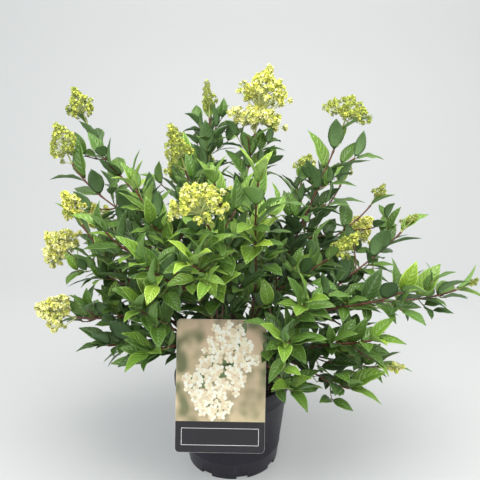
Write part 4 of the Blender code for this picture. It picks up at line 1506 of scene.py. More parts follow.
@dataclass(frozen=True)
class Finish:
    """One finish: a base colour with soft mottling, and the pattern and relief that it carries."""

    name: str
    colour: Triple
    roughness: float
    scale: float = 60.0
    amount: float = 0.12
    hue: float = 0.02
    pattern: Pattern = Pattern.PLAIN
    mark_colour: Triple = (0.5, 0.5, 0.5)
    mark_share: float = 0.0
    relief: float = 0.0
    specular: float = 0.5
    mark_roughness: float = 0.12

    def make(self, effects: Effects) -> Material:
        """Make the material.

        Args:
            effects: The shared node groups.

        Returns:
            The material.
        """
        material = bpy.data.materials.new(self.name)
        material.use_nodes = True
        graph = Graph(material.node_tree)
        sockets = graph.tree.nodes["Principled BSDF"].inputs
        sockets["Specular IOR Level"].default_value = self.specular
        sockets["Roughness"].default_value = self.roughness
        values = {"Colour": (*self.colour, 1.0), "Scale": self.scale, "Amount": self.amount, "Hue": self.hue}
        colour = graph.make("ShaderNodeGroup", values, node_tree=effects.groups[Effects.MOTTLE]).outputs[0]
        if self.pattern is not Pattern.PLAIN:
            effect = graph.make("ShaderNodeGroup", node_tree=effects.groups[self.pattern.value]).outputs
            share = graph.times(effect["Mask"], self.mark_share)
            parts = {0: share, 6: colour, 7: (*self.mark_colour, 1.0)}
            colour = graph.make("ShaderNodeMix", parts, data_type="RGBA").outputs[2]
            rough = graph.math("MULTIPLY_ADD", effect["Mask"], self.mark_roughness, self.roughness)
            graph.tree.links.new(rough, sockets["Roughness"])
            if self.relief > 0.0:
                bump = graph.make("ShaderNodeBump", {"Distance": self.relief, "Height": effect["Height"]})
                graph.tree.links.new(bump.outputs[0], sockets["Normal"])
        graph.tree.links.new(colour, sockets["Base Color"])
        return material


# Foliage


@dataclass(frozen=True)
class LeafPattern:
    """A leaf's outline, folds and relief in shares of its length, cut into few faces."""

    runs: int = 9
    upper: Floats = (-0.88, -0.45, -0.04, 0.04, 0.45, 0.88)
    lower: Floats = (-0.5, 0.0, 0.5)
    foot_fullness: float = 0.76
    tip_fullness: float = 1.12
    tooth: float = 0.0075
    tooth_place: float = 0.66
    petiole: float = 0.07
    petiole_lap: float = 0.02
    half_width: float = 0.208
    width_spread: Pair = (0.90, 1.12)
    map_margin: float = 0.35
    skin: float = 0.00022
    rib_depth: float = 0.00025
    rib_reach: float = 0.1
    large: float = 0.050
    large_share: Pair = (0.72, 0.94)
    young_from: float = 0.8
    rise: Pair = (0.10, 0.30)
    rise_pull: float = 0.10
    droop: Pair = (0.02, 0.12)
    lift: Pair = (0.0, 0.42)
    fold: Pair = (0.16, 0.48)
    fold_pull: float = 0.8
    young_fold: Pair = (0.35, 0.65)
    curl: Pair = (0.05, 0.25)
    wave: Pair = (0.03, 0.10)
    waves: float = 2.3
    wave_split: float = 1.3
    twist: Pair = (-0.30, 0.30)

    def width_at(self, share: np.ndarray) -> np.ndarray:
        """Return the leaf's width at some shares of its length, as shares of the widest."""
        a, b = self.foot_fullness, self.tip_fullness
        return share ** a * (1.0 - share) ** b / ((a / (a + b)) ** a * (b / (a + b)) ** b)

    def cut(self) -> tuple[np.ndarray, np.ndarray, np.ndarray]:
        """Cut the leaf into faces.

        Returns:
            Rows of length share, sideways share, layer and tooth for each vertex, the triangles,
            and for each triangle 0 for blade, 1 for midrib, 2 for rim and 3 for underside.
        """
        rows, edges, tris, kinds = [(0.0, 0.0, 0.0, 0.0), (1.0, 0.0, 0.0, 0.0)], {}, [], []
        parts = (0.0, self.tooth_place)
        places = [(run + part, part > 0.0) for run in range(self.runs) for part in parts][1:]
        for sign in (-1.0, 1.0):
            edges[sign] = range(len(rows), len(rows) + len(places))
            rows += [(place / self.runs, sign, 0.0, sign * tooth) for place, tooth in places]
        for columns, layer in ((self.upper, 1.0), (self.lower, -1.0)):
            grid = []
            for run in range(1, self.runs):
                grid.append(range(len(rows), len(rows) + len(columns)))
                rows += [(run / self.runs, column, layer, 0.0) for column in columns]
            made, made_kinds = self._layer(grid, edges)
            tris += made if layer > 0.0 else [t[::-1] for t in made]
            kinds += made_kinds if layer > 0.0 else [3] * len(made)
        return np.array(rows), np.array(tris), np.array(kinds)

    @staticmethod
    def _layer(grid: Sequence[range], edges: dict[float, range]) -> tuple[Faces, list[int]]:
        """Join one side of the leaf up to its toothed edge.

        Args:
            grid: Numbers of the side's own vertices, row by row.
            edges: Numbers of the left and right edge's vertices, with a tooth first and last.

        Returns:
            The triangles, and what each belongs to.
        """
        tris, kinds, base, tip, last = [], [], 0, 1, len(grid[0]) - 1
        for k in range(last):
            made = [(base, grid[0][k + 1], grid[0][k]), (grid[-1][k], grid[-1][k + 1], tip)]
            for near, far in zip(grid, grid[1:]):
                made += [(near[k], near[k + 1], far[k + 1]), (near[k], far[k + 1], far[k])]
            tris += made
            kinds += [int(last > 2 and 2 * k + 1 == last)] * len(made)
        for sign, k in ((-1.0, 0), (1.0, last)):
            teeth, edge = edges[sign][::2], edges[sign][1::2]
            made = [(base, grid[0][k], teeth[0]), (teeth[-1], grid[-1][k], tip)]
            for run, row in enumerate(grid):
                made += [(teeth[run], row[k], edge[run]), (edge[run], row[k], teeth[run + 1])]
            made += [(teeth[run], near[k], far[k]) for run, (near, far) in enumerate(zip(grid, grid[1:]), 1)]
            tris += made if sign < 0.0 else [t[::-1] for t in made]
            kinds += [2] * len(made)
        return tris, kinds


class LeafFactory:
    """Places many leaves at once, each with its own bend, fold and twist."""

    def __init__(self, pattern: LeafPattern) -> None:
        """Cut the pattern once."""
        self.pattern = pattern
        self.rows, self.tris, self.kinds = pattern.cut()

    def add(self, shape: Shape, leaves: Sequence[Leaf], draw: random.Random) -> list[Vector]:
        """Add leaves to a shape.

        Args:
            shape: Shape to add to, with four finishes for each tone.
            leaves: The leaves.
            draw: Source of the differences from leaf to leaf.

        Returns:
            The end of each leaf's stalk.
        """
        along, sideways, layer, tooth = self.rows.T
        rule, foot, feet = self.pattern, self.pattern.petiole, []
        width, out = rule.width_at(along), np.abs(sideways)
        places = np.stack([along, 0.5 + 0.5 * sideways * np.minimum(1.0, width + rule.map_margin)], axis=1)
        for leaf in leaves:
            length = leaf.length * (draw.uniform(*rule.large_share) if leaf.length > rule.large else 1.0)
            rise, droop, lift = (draw.uniform(*span) for span in (rule.rise, rule.droop, rule.lift))
            fold = draw.uniform(*(rule.young_fold if leaf.share > rule.young_from else rule.fold))
            curl, wave = draw.uniform(*rule.curl), draw.uniform(*rule.wave)
            phase = draw.uniform(0.0, tau)
            angle = draw.uniform(*rule.twist) * along
            half = length * rule.half_width * draw.uniform(*rule.width_spread)
            y = half * sideways * width * cos(fold * rule.fold_pull) + tooth * rule.tooth * length
            ripple = np.sin(tau * rule.waves * along + phase + rule.wave_split * np.sign(sideways))
            z = half * width * out * (fold - curl * out + wave * out * ripple)
            z = z + layer * (rule.skin + rule.rib_depth * (out < rule.rib_reach) * (layer < 0.0))
            turned_y = y * np.cos(angle) - z * np.sin(angle)
            turned_z = y * np.sin(angle) + z * np.cos(angle)
            turned_z += length * (rise * along * (1.0 - along) - droop * along * along)
            x = length * (foot + (1.0 - foot) * along) - length * rule.rise_pull * rise * along * along
            way = leaf.way * cos(lift) + leaf.face * sin(lift)
            face = leaf.face * cos(lift) - leaf.way * sin(lift)
            feet.append(leaf.root + way * (length * (foot + rule.petiole_lap)))
            root, way, face = (np.array(v) for v in (leaf.root, way, face))
            side = np.cross(way, face)
            verts = root + np.outer(x, way) + np.outer(turned_y, side) + np.outer(turned_z, face)
            shape.add(verts, self.tris, self.kinds + 4 * leaf.tone.value, places)
        return feet


@dataclass
class FoliageDresser:
    """Turns grown sprays into joined meshes of leaves and of stems, bough by bough."""

    leaf_materials: list[Material]
    stem_materials: list[Material]
    factory: LeafFactory
    stem_sides: int = 7
    twig_sides: int = 5
    petiole_sides: int = 4
    node_swell: float = 0.55
    node_width: float = 0.0024
    petiole_radii: Pair = (0.0009, 0.0006)
    woody_share: float = 0.42
    stalk_from: float = 0.004

    WOODY, RED, STALK, GREEN, PETIOLE = range(5)

    def _add_stem(self, shape: Shape, limb: Limb, nodes: Sequence[float], ringed: int, sides: int,
                  finish: Callable[[float], int]) -> None:
        """Add a stem or twig with a swelling at each node.

        Args:
            shape: Shape to add to.
            limb: Its limb.
            nodes: Marks of its nodes.
            ringed: How many of its nodes get rings of their own.
            sides: Number of sides.
            finish: Gives the number of the finish at a mark.
        """
        marks, wide, rings = {0.0, limb.length}, self.node_width, nodes[:ringed]
        for low, high in zip([0.0, *rings], [*rings, limb.length]):
            marks.update((low + (high - low) / 3.0, low + (high - low) * 2.0 / 3.0))
        for node in rings:
            marks.update((node - wide, node, node + wide))

        def radius(mark: float, angle: float) -> float:
            """Return the radius at a mark."""
            swell = sum(exp(-((mark - node) / wide) ** 2) for node in nodes)
            return limb.radius(mark) * (1.0 + self.node_swell * min(swell, 1.0))

        shape.limb(limb, sorted(mark for mark in marks if 0.0 <= mark <= limb.length), sides, radius, finish)

    def build(self, bough: Bough, sprays: Sequence[Spray]) -> None:
        """Build the leaves and the stems of one bough.

        Args:
            bough: The bough.
            sprays: Its sprays.
        """
        leaves, stems = Shape(LEAF_MAP), Shape()
        for spray in sprays:
            woody = spray.stem.length * self.woody_share
            stalk = spray.nodes[-1] + self.stalk_from if spray.flowers else spray.stem.length

            def finish(mark: float) -> int:
                """Return the finish: woody at the foot, red above and green under the bloom."""
                return self.STALK if mark > stalk else self.WOODY if mark < woody else self.RED

            feet = self.factory.add(leaves, spray.leaves, spray.fine_draw)
            self._add_stem(stems, spray.stem, spray.nodes, len(spray.nodes), self.stem_sides, finish)
            for twig in spray.twigs:
                number = self.GREEN if twig.green else self.RED
                self._add_stem(stems, twig.limb, twig.nodes, 1, self.twig_sides, lambda mark: number)
            for leaf, foot in zip(spray.leaves, feet):
                number = self.GREEN if leaf.tone in (Tone.FRESH, Tone.LIME) else self.PETIOLE
                stems.rod(leaf.root, foot, self.petiole_radii, self.petiole_sides, number)
        masses = [spray.name for spray in sprays]
        dress(leaves.build("leaves_" + bough.name, self.leaf_materials), Slot.FOLIAGE, *masses)
        dress(stems.build("stems_" + bough.name, self.stem_materials), Slot.BARK)


# Blossom


@dataclass(frozen=True)
class BloomMix:
    """Shares of closed buds, lime and lemon florets in a bloom, the rest being cream, and their size."""

    buds: float
    lime: float
    lemon: float
    petal: float


BLOOM_MIXES = {
    Ripeness.BUD: BloomMix(0.92, 0.08, 0.00, 0.0020),
    Ripeness.GREEN: BloomMix(0.66, 0.26, 0.08, 0.0021),
    Ripeness.LEMON: BloomMix(0.30, 0.14, 0.36, 0.0024),
    Ripeness.PALE: BloomMix(0.18, 0.10, 0.24, 0.0026),
}


@dataclass(frozen=True)
class Tier:
    """Part of a bloom between two levels, with its reach and how its outline closes at the top."""

    low: float
    high: float
    reach: float
    closing: float
    crowding: float = 1.0
    paler: bool = False

    FOOT = 0.72
    FLARE = 1.6

    def reach_at(self, height: float) -> float:
        """Return the reach at a share of the tier's height, as a share of half the bloom's width."""
        return self.reach * min(1.0, self.FOOT + self.FLARE * height) * (1.0 - height ** self.closing)


TIERS = {
    Form.CONE: (Tier(0.06, 1.00, 1.0, 2.5),),
    Form.DOME: (Tier(0.52, 0.92, 0.86, 3.2, 0.85), Tier(0.26, 0.40, 1.08, 8.0, 0.45)),
    Form.TIERED: (Tier(0.42, 1.02, 0.95, 1.9), Tier(0.05, 0.34, 1.0, 3.5, paler=True)),
}


@dataclass(frozen=True)
class Cap:
    """Directions on a cap: the first's share off its middle, the edge's angle, the turn and its spread."""

    first: float
    widest: float
    turn: float
    spread: float


@dataclass
class Panicle:
    """One branched bloom, whose lobes hold clusters of buds and florets."""

    shape: Shape
    spray: Spray
    mix: BloomMix = BLOOM_MIXES[Ripeness.BUD]
    lobe_step: float = 0.0122
    lobe_radius: float = 0.0044
    lobe_share: float = 0.16
    lobe_reach: Pair = (0.55, 1.16)
    lobe_cap: Cap = Cap(0.2, 86.0, GOLDEN_TURN * 1.5, 0.5)
    clusters: tuple[int, int] = (3, 5)
    cluster_radius: float = 0.0019
    cluster_place: Pair = (0.55, 1.0)
    cluster_cap: Cap = Cap(0.3, 100.0, GOLDEN_TURN, 0.4)
    florets: int = 6
    floret_place: Pair = (0.7, 1.2)
    bud_radius: float = 0.00098
    bud_spread: Pair = (0.75, 1.25)
    bud_tip: float = 1.3
    petal_spread: Pair = (0.8, 1.2)
    petal_cup: Pair = (0.25, 0.9)
    petal_width: Pair = (0.42, 0.58)
    petal_length: Pair = (0.92, 1.12)
    petal_waist: float = 0.60
    waist_cup: float = 0.35
    heart_lift: float = 0.12
    heart_size: float = 0.18
    axis_radii: Pair = (0.0011, 0.0007)
    branch_radii: Pair = (0.0007, 0.0005)
    pedicel_radii: Pair = (0.0004, 0.0003)
    slices: int = 60
    foot_area: float = 0.8
    turn_spread: float = 0.4
    dome_lift: float = 1.6
    axis_share: float = 0.85
    branch_inset: float = 1.4
    branch_drop: float = 0.8
    branch_start: float = 2.0
    branch_slope: float = 0.7
    lowest_branch: float = 0.08
    twiglet_depth: float = 0.6
    side_above: float = 0.002
    side_lean: float = 0.8
    side_length: Pair = (0.016, 0.026)
    side_stalk: float = 0.004
    side_size: float = 0.8

    BUD, LIME, LEMON, CREAM, BRANCH = range(5)
    PETALS = [tri for i in (0, 4, 8, 12) for tri in ((i, i + 2, i + 1), (i + 1, i + 2, i + 3))]

    def _bud(self, place: Vector, way: Vector, radius: float, finish: int) -> None:
        """Add one closed bud.

        Args:
            place: Its middle.
            way: The direction that it points in.
            radius: Its radius.
            finish: Number of its finish.
        """
        side = across(way, UP)
        points = [place + spoke(way, side, pi / 2.0 * k) * radius for k in range(4)]
        points += [place - way * radius, place + way * (radius * self.bud_tip)]
        self.shape.add(points, closed(0, 1, 4, 4, 5), finish)

    def _floret(self, place: Vector, way: Vector, size: float, finish: int) -> None:
        """Add one open floret: four cupped petals round a tiny bud.

        Args:
            place: Its middle.
            way: The direction that it faces.
            size: Length of a petal.
            finish: Number of its finish.
        """
        draw, side, points = self.spray.fine_draw, across(way, UP), []
        turn, cup = draw.uniform(0.0, pi), draw.uniform(*self.petal_cup)
        for k in range(4):
            out = spoke(way, side, turn + pi / 2.0 * k)
            wide = way.cross(out) * (size * draw.uniform(*self.petal_width))
            middle = place + out * (size * self.petal_waist) + way * (size * cup * self.waist_cup)
            end = place + out * (size * draw.uniform(*self.petal_length)) + way * (size * cup)
            points += [place, middle - wide, middle + wide, end]
        self.shape.add(points, self.PETALS, finish)
        self._bud(place + way * (size * self.heart_lift), way, size * self.heart_size, finish)

    def _fan_out(self, way: Vector, count: int, cap: Cap) -> Iterable[Vector]:
        """Spread directions over a cap, from its middle outward.

        Args:
            way: Direction of the cap's middle.
            count: How many directions.
            cap: The cap.

        Returns:
            The directions, one by one.
        """
        side = across(way, UP)
        for k in range(count):
            tilt = radians(cap.widest) * sqrt((k + cap.first) / count)
            out = spoke(way, side, k * cap.turn + self.spray.fine_draw.uniform(-cap.spread, cap.spread))
            yield (way * cos(tilt) + out * sin(tilt)).normalized()

    def _cluster(self, centre: Vector, way: Vector) -> None:
        """Add a cluster of buds and florets at the end of a twiglet.

        Args:
            centre: Its middle.
            way: The direction that it faces.
        """
        draw, mix, reach = self.spray.fine_draw, self.mix, self.cluster_radius
        for face in self._fan_out(way, self.florets, self.cluster_cap):
            place = centre + face * (reach * draw.uniform(*self.floret_place))
            self.shape.rod(centre - way * reach, place, self.pedicel_radii, 3, self.BRANCH)
            pick = draw.random()
            if pick < mix.buds:
                self._bud(place, face, self.bud_radius * draw.uniform(*self.bud_spread), self.BUD)
                continue
            pick -= mix.buds
            number = self.LEMON if pick < mix.lime + mix.lemon else self.CREAM
            number = self.LIME if pick < mix.lime else number
            self._floret(place, face, mix.petal * draw.uniform(*self.petal_spread), number)

    def _lobe(self, start: Vector, end: Vector, radius: float) -> None:
        """Add one branch with the lobe of clusters at its end.

        Args:
            start: Foot of the branch.
            end: Its end.
            radius: Radius of the lobe.
        """
        way, draw = (end - start).normalized(), self.spray.fine_draw
        self.shape.rod(start, end, self.branch_radii, 4, self.BRANCH)
        foot = end - way * (radius * self.twiglet_depth)
        for face in self._fan_out(way, draw.randint(*self.clusters), self.lobe_cap):
            centre = end + face * (radius * draw.uniform(*self.cluster_place))
            self.shape.rod(foot, centre, self.pedicel_radii, 3, self.BRANCH)
            self._cluster(centre, face)

    def _ends(self, tier: Tier) -> Iterable[Triple]:
        """Spread the ends of a tier's branches evenly over it.

        Args:
            tier: The tier.

        Returns:
            The level, the reach and the turn of each, one by one.
        """
        draw, half = self.spray.fine_draw, self.spray.shoot.bloom_width / 2.0
        reaches = [tier.reach_at((i + 0.5) / self.slices) for i in range(self.slices)]
        total = sum(reaches)
        tall = self.spray.shoot.bloom_height * (tier.high - tier.low)
        area = tau * half * tall * total / self.slices + self.foot_area * pi * (half * tier.reach) ** 2
        count = max(3, round(area * tier.crowding / self.lobe_step ** 2))
        passed, index = 0.0, 0
        for k in range(count):
            while index < self.slices - 1 and passed + reaches[index] < total * (k + 0.5) / count:
                passed += reaches[index]
                index += 1
            reach = half * reaches[index] * draw.uniform(*self.lobe_reach)
            level = tier.low + (tier.high - tier.low) * (index + 0.5) / self.slices
            yield level, reach, k * GOLDEN_TURN + draw.uniform(-self.turn_spread, self.turn_spread)

    def build(self) -> None:
        """Add the bloom on the tip of its stem."""
        shoot, stem = self.spray.shoot, self.spray.stem
        end, way, tall = stem.at(stem.length), stem.way(stem.length), shoot.bloom_height
        if shoot.form is Form.DOME:
            way = (way + UP * self.dome_lift).normalized()
        side = across(way, FIRST_RING_SIDE)
        radius = min(self.lobe_radius, shoot.bloom_width * self.lobe_share)
        foot = end - way * (tall * GROWTH.bloom_sink)
        self.shape.rod(end, foot + way * (tall * self.axis_share), self.axis_radii, 5, self.BRANCH)
        for tier in TIERS[shoot.form]:
            self.mix = BLOOM_MIXES[Ripeness.PALE if tier.paler else shoot.ripeness]
            for level, reach, turn in list(self._ends(tier)):
                inner = max(reach - radius * self.branch_inset, 0.0)
                high = tall * level - radius * self.branch_drop
                low = tall * level - radius * self.branch_start - inner * self.branch_slope
                start = foot + way * max(low, tall * self.lowest_branch)
                self._lobe(start, foot + way * high + spoke(way, side, turn) * inner, radius)

    def build_side(self) -> None:
        """Add a small bud on a stalk from the last node, as some shoots have."""
        draw, stem = self.spray.fine_draw, self.spray.stem
        seat = stem.seat(self.spray.nodes[-1] + self.side_above)
        way = (seat.way * self.side_lean + side_way(seat.way, draw.uniform(0.0, 360.0))).normalized()
        end = seat.centre + way * draw.uniform(*self.side_length)
        self.shape.rod(seat.centre, end, self.axis_radii, 5, self.BRANCH)
        self.mix = BLOOM_MIXES[Ripeness.BUD]
        self._lobe(end - way * self.side_stalk, end, self.lobe_radius * self.side_size)


@dataclass
class BlossomDresser:
    """Turns the blooms of grown sprays into joined meshes, bough by bough."""

    materials: list[Material]
    side_chance: float = 0.6

    def build(self, bough: Bough, sprays: Sequence[Spray]) -> None:
        """Build the blooms of one bough.

        Args:
            bough: The bough.
            sprays: Its sprays.
        """
        shape = Shape()
        for spray in sprays:
            if spray.flowers:
                panicle = Panicle(shape, spray)
                panicle.build()
                if spray.fine_draw.random() < self.side_chance:
                    panicle.build_side()
        if shape.parts:
            dress(shape.build("blossom_" + bough.name, self.materials), Slot.BLOSSOM)


# Wood, pot, compost and card


@dataclass
class Wood:
    """The short stem on the compost and the boughs that grow from it, with their bark's relief."""

    bark: Material
    compost_top: float = 0.1385
    foot_radius: float = 0.0165
    waist_radius: float = 0.0125
    sides: int = 28
    stubs: tuple = ((20.0, 35.0, 0.007), (150.0, 28.0, 0.008), (-60.0, 42.0, 0.006), (85.0, 60.0, 0.007))
    stub_radius: float = 0.0034
    stub_start: float = 0.8
    stub_steps: Floats = (0.0, 0.5, 0.95, 1.0)
    stub_sides: int = 9
    stub_seed: float = 0.4
    crown_seed: float = 1.3
    neck_drop: float = 0.64
    burr_rises: Sequence[int] = range(-40, 90, 13)
    bough_sides: int = 16
    ring_step: float = 0.0015
    ridge: float = 0.0425
    knob_step: float = 0.019
    knob_width: float = 0.10
    knob_swell: float = 0.20
    end_width: float = 0.004
    end_swell: float = 0.25

    def _relief(self, angle: float, mark: float, seed: float) -> float:
        """Work out the bark's relief.

        Args:
            angle: Angle round the wood.
            mark: Distance along it.
            seed: Number that makes it differ from the rest.

        Returns:
            A factor on the radius.
        """
        slow = sin(3.0 * angle + 60.0 * mark + seed) + 0.6 * sin(7.0 * angle - 140.0 * mark + 2.0 * seed)
        fine = 0.5 * sin(5.0 * angle + 900.0 * mark + seed) * sin(2.0 * angle + 430.0 * mark)
        return 1.0 + self.ridge * (slow + fine)

    def build_crown(self) -> None:
        """Build the short stem: flared at the compost, with a burred head and pruned stubs."""
        head, wide = UP * GROWTH.crown_head_height, GROWTH.crown_head_radius
        foot, neck = self.compost_top + CLEARANCE, head.z - wide * self.neck_drop
        profile = [(0.0, foot), (self.foot_radius, foot), (self.foot_radius * 0.97, foot + 0.002)]
        profile.append((self.waist_radius * 1.06, foot + (neck - foot) * 0.35))
        profile.append((self.waist_radius, (foot + neck) / 2.0))
        for angle in (radians(rise) for rise in self.burr_rises):
            profile.append((wide * cos(angle), head.z + wide * sin(angle)))
        profile.append((0.0, head.z + wide))

        def ridged(radius: float, height: float, angle: float) -> Pair:
            """Return the radius and height of a point with the bark's relief."""
            return radius * (self._relief(angle, height, self.crown_seed) if height > foot else 1.0), height

        shape, sides, thick = Shape(), self.sides, self.stub_radius
        places = [shape.round_place(level, k / sides) for _, level in profile[1:-1] for k in range(sides)]
        low, high = (shape.round_place(level, shape.MIDDLE_SHARE) for level in (foot, profile[-1][1]))
        shape.add(*turned(profile, sides, ridged), 0, [low, *places, high])
        for turn, rise, long in self.stubs:
            way = unit(turn, rise)
            start = head + way * (wide * self.stub_start)
            stub = Limb(Run(start, way, start + way * long, way, thick, thick))
            shape.limb(stub, [long * step for step in self.stub_steps], self.stub_sides,
                       lambda mark, angle: thick * self._relief(angle, mark, self.stub_seed))
        dress(shape.build("crown_bark", [self.bark]), Slot.BARK, "crown_stem")

    def build_bough(self, bough: Bough, limb: Limb) -> None:
        """Build one bough with ridged bark and a knob at each old node.

        Args:
            bough: The bough.
            limb: Its limb.
        """
        seed = float(len(bough.name)) + bough.turn

        def radius(mark: float, angle: float) -> float:
            """Work out the radius at a mark and an angle.

            Args:
                mark: Distance along the limb.
                angle: Angle round it.

            Returns:
                The radius.
            """
            phase = (mark / self.knob_step) % 1.0
            knob = exp(-((min(phase, 1.0 - phase)) / self.knob_width) ** 2)
            end = exp(-((limb.length - mark) / self.end_width) ** 2)
            swell = 1.0 + self.knob_swell * knob + self.end_swell * end
            return limb.radius(mark) * swell * self._relief(angle, mark, seed)

        shape = Shape()
        shape.limb(limb, limb.steps(max(8, round(limb.length / self.ring_step))), self.bough_sides, radius)
        dress(shape.build("bark_" + bough.name, [self.bark]), Slot.BARK, "bough_" + bough.name)


@dataclass
class NurseryPot:
    """Thin-walled nursery pot with a rolled lip, faint stacking ribs and a notched foot."""

    material: Material
    height: float = 0.150
    foot_radius: float = 0.0745
    waist_radius: float = 0.0905
    wall: float = 0.0018
    floor: float = 0.0025
    lip_radius: float = 0.0950
    lip_depth: float = 0.013
    lip_round: float = 0.0011
    notch_count: int = 8
    notch_width: float = 0.018
    notch_height: float = 0.0075
    notch_inner_radius: float = 0.0665
    first_notch_turn: float = -78.0
    sides: int = 160
    rib_heights: Floats = (0.030, 0.118)
    rib_rises: tuple[Pair, ...] = ((-0.0016, 0.0), (-0.0008, 1.0), (0.0008, 1.0), (0.0016, 0.0))
    rib_depth: float = 0.0005
    step_height: float = 0.128
    sharp_from: float = 38.0

    def outer_radius(self, height: float) -> float:
        """Return the radius of the outer wall below the lip."""
        flare = self.waist_radius - self.foot_radius
        return self.foot_radius + flare * height / (self.height - self.lip_depth)

    def inner_radius(self, height: float) -> float:
        """Return the radius of the wall's inside."""
        return self.outer_radius(height) - self.wall

    def _profile(self) -> list[Pair]:
        """Draw the profile that the pot is turned from.

        Returns:
            Its points, from the middle of the underside round to the middle of the floor.
        """
        lip_low, r, foot = self.height - self.lip_depth, self.lip_round, self.foot_radius
        points = [(0.0, 0.0), (foot - 0.0010, 0.0), (foot - 0.0003, 0.0003), (foot, 0.0010)]
        for height, (rise, depth) in itertools.product(self.rib_heights, self.rib_rises):
            points.append((self.outer_radius(height + rise) + self.rib_depth * depth, height + rise))
        points += [(self.waist_radius - 0.0002, lip_low - 0.0010), (self.waist_radius + 0.0006, lip_low)]
        for middle, turns in ((lip_low + r, (-90, -45, 0)), (self.height - r, (0, 30, 60, 90))):
            for a in (radians(turn) for turn in turns):
                points.append((self.lip_radius - r + r * cos(a), middle + r * sin(a)))
        inner = self.inner_radius(self.height)
        points += [(inner + 0.0008, self.height), (inner, self.height - 0.0008)]
        points += [(self.inner_radius(height), height) for height in (self.step_height, self.floor)]
        return points + [(0.0, self.floor)]

    def _notches(self) -> Solid:
        """Lay out the boxes that cut the notches out of the foot.

        Returns:
            Their vertices and faces.
        """
        verts: list[Vector] = []
        faces: Faces = []
        for index in range(self.notch_count):
            out = unit(self.first_notch_turn + 360.0 * index / self.notch_count)
            side = UP.cross(out) * (self.notch_width / 2.0)
            near, far = out * self.notch_inner_radius, out * self.lip_radius
            corners, i = (near - side, far - side, far + side, near + side), len(verts)
            for height in (-self.notch_height, self.notch_height):
                verts += [corner + UP * height for corner in corners]
            faces += [(i + 3, i + 2, i + 1, i), (i + 4, i + 5, i + 6, i + 7)]
            faces += [(i + a, i + b, i + 4 + b, i + 4 + a) for a, b in ((0, 1), (1, 2), (2, 3), (3, 0))]
        return verts, faces

    def build(self) -> None:
        """Build the pot and cut its drainage notches."""
        bodies, items = {"pot_shell": turned(self._profile(), self.sides), "cutter": self._notches()}, []
        for name, (verts, faces) in bodies.items():
            mesh = bpy.data.meshes.new(name)
            mesh.from_pydata(verts, [], faces)
            items.append(put(name, mesh))
        pot, cutter = items
        cut = pot.modifiers.new("notches", "BOOLEAN")
        cut.operation, cut.solver, cut.object = "DIFFERENCE", "EXACT", cutter
        graph = bpy.context.evaluated_depsgraph_get()
        pot.data = bpy.data.meshes.new_from_object(pot.evaluated_get(graph))
        pot.modifiers.clear()
        bpy.data.objects.remove(cutter)
        pot.data.shade_smooth()
        pot.data.set_sharp_from_angle(angle=radians(self.sharp_from))
        pot.data.materials.clear()
        pot.data.materials.append(self.material)
        dress(pot, Slot.POT, "pot")


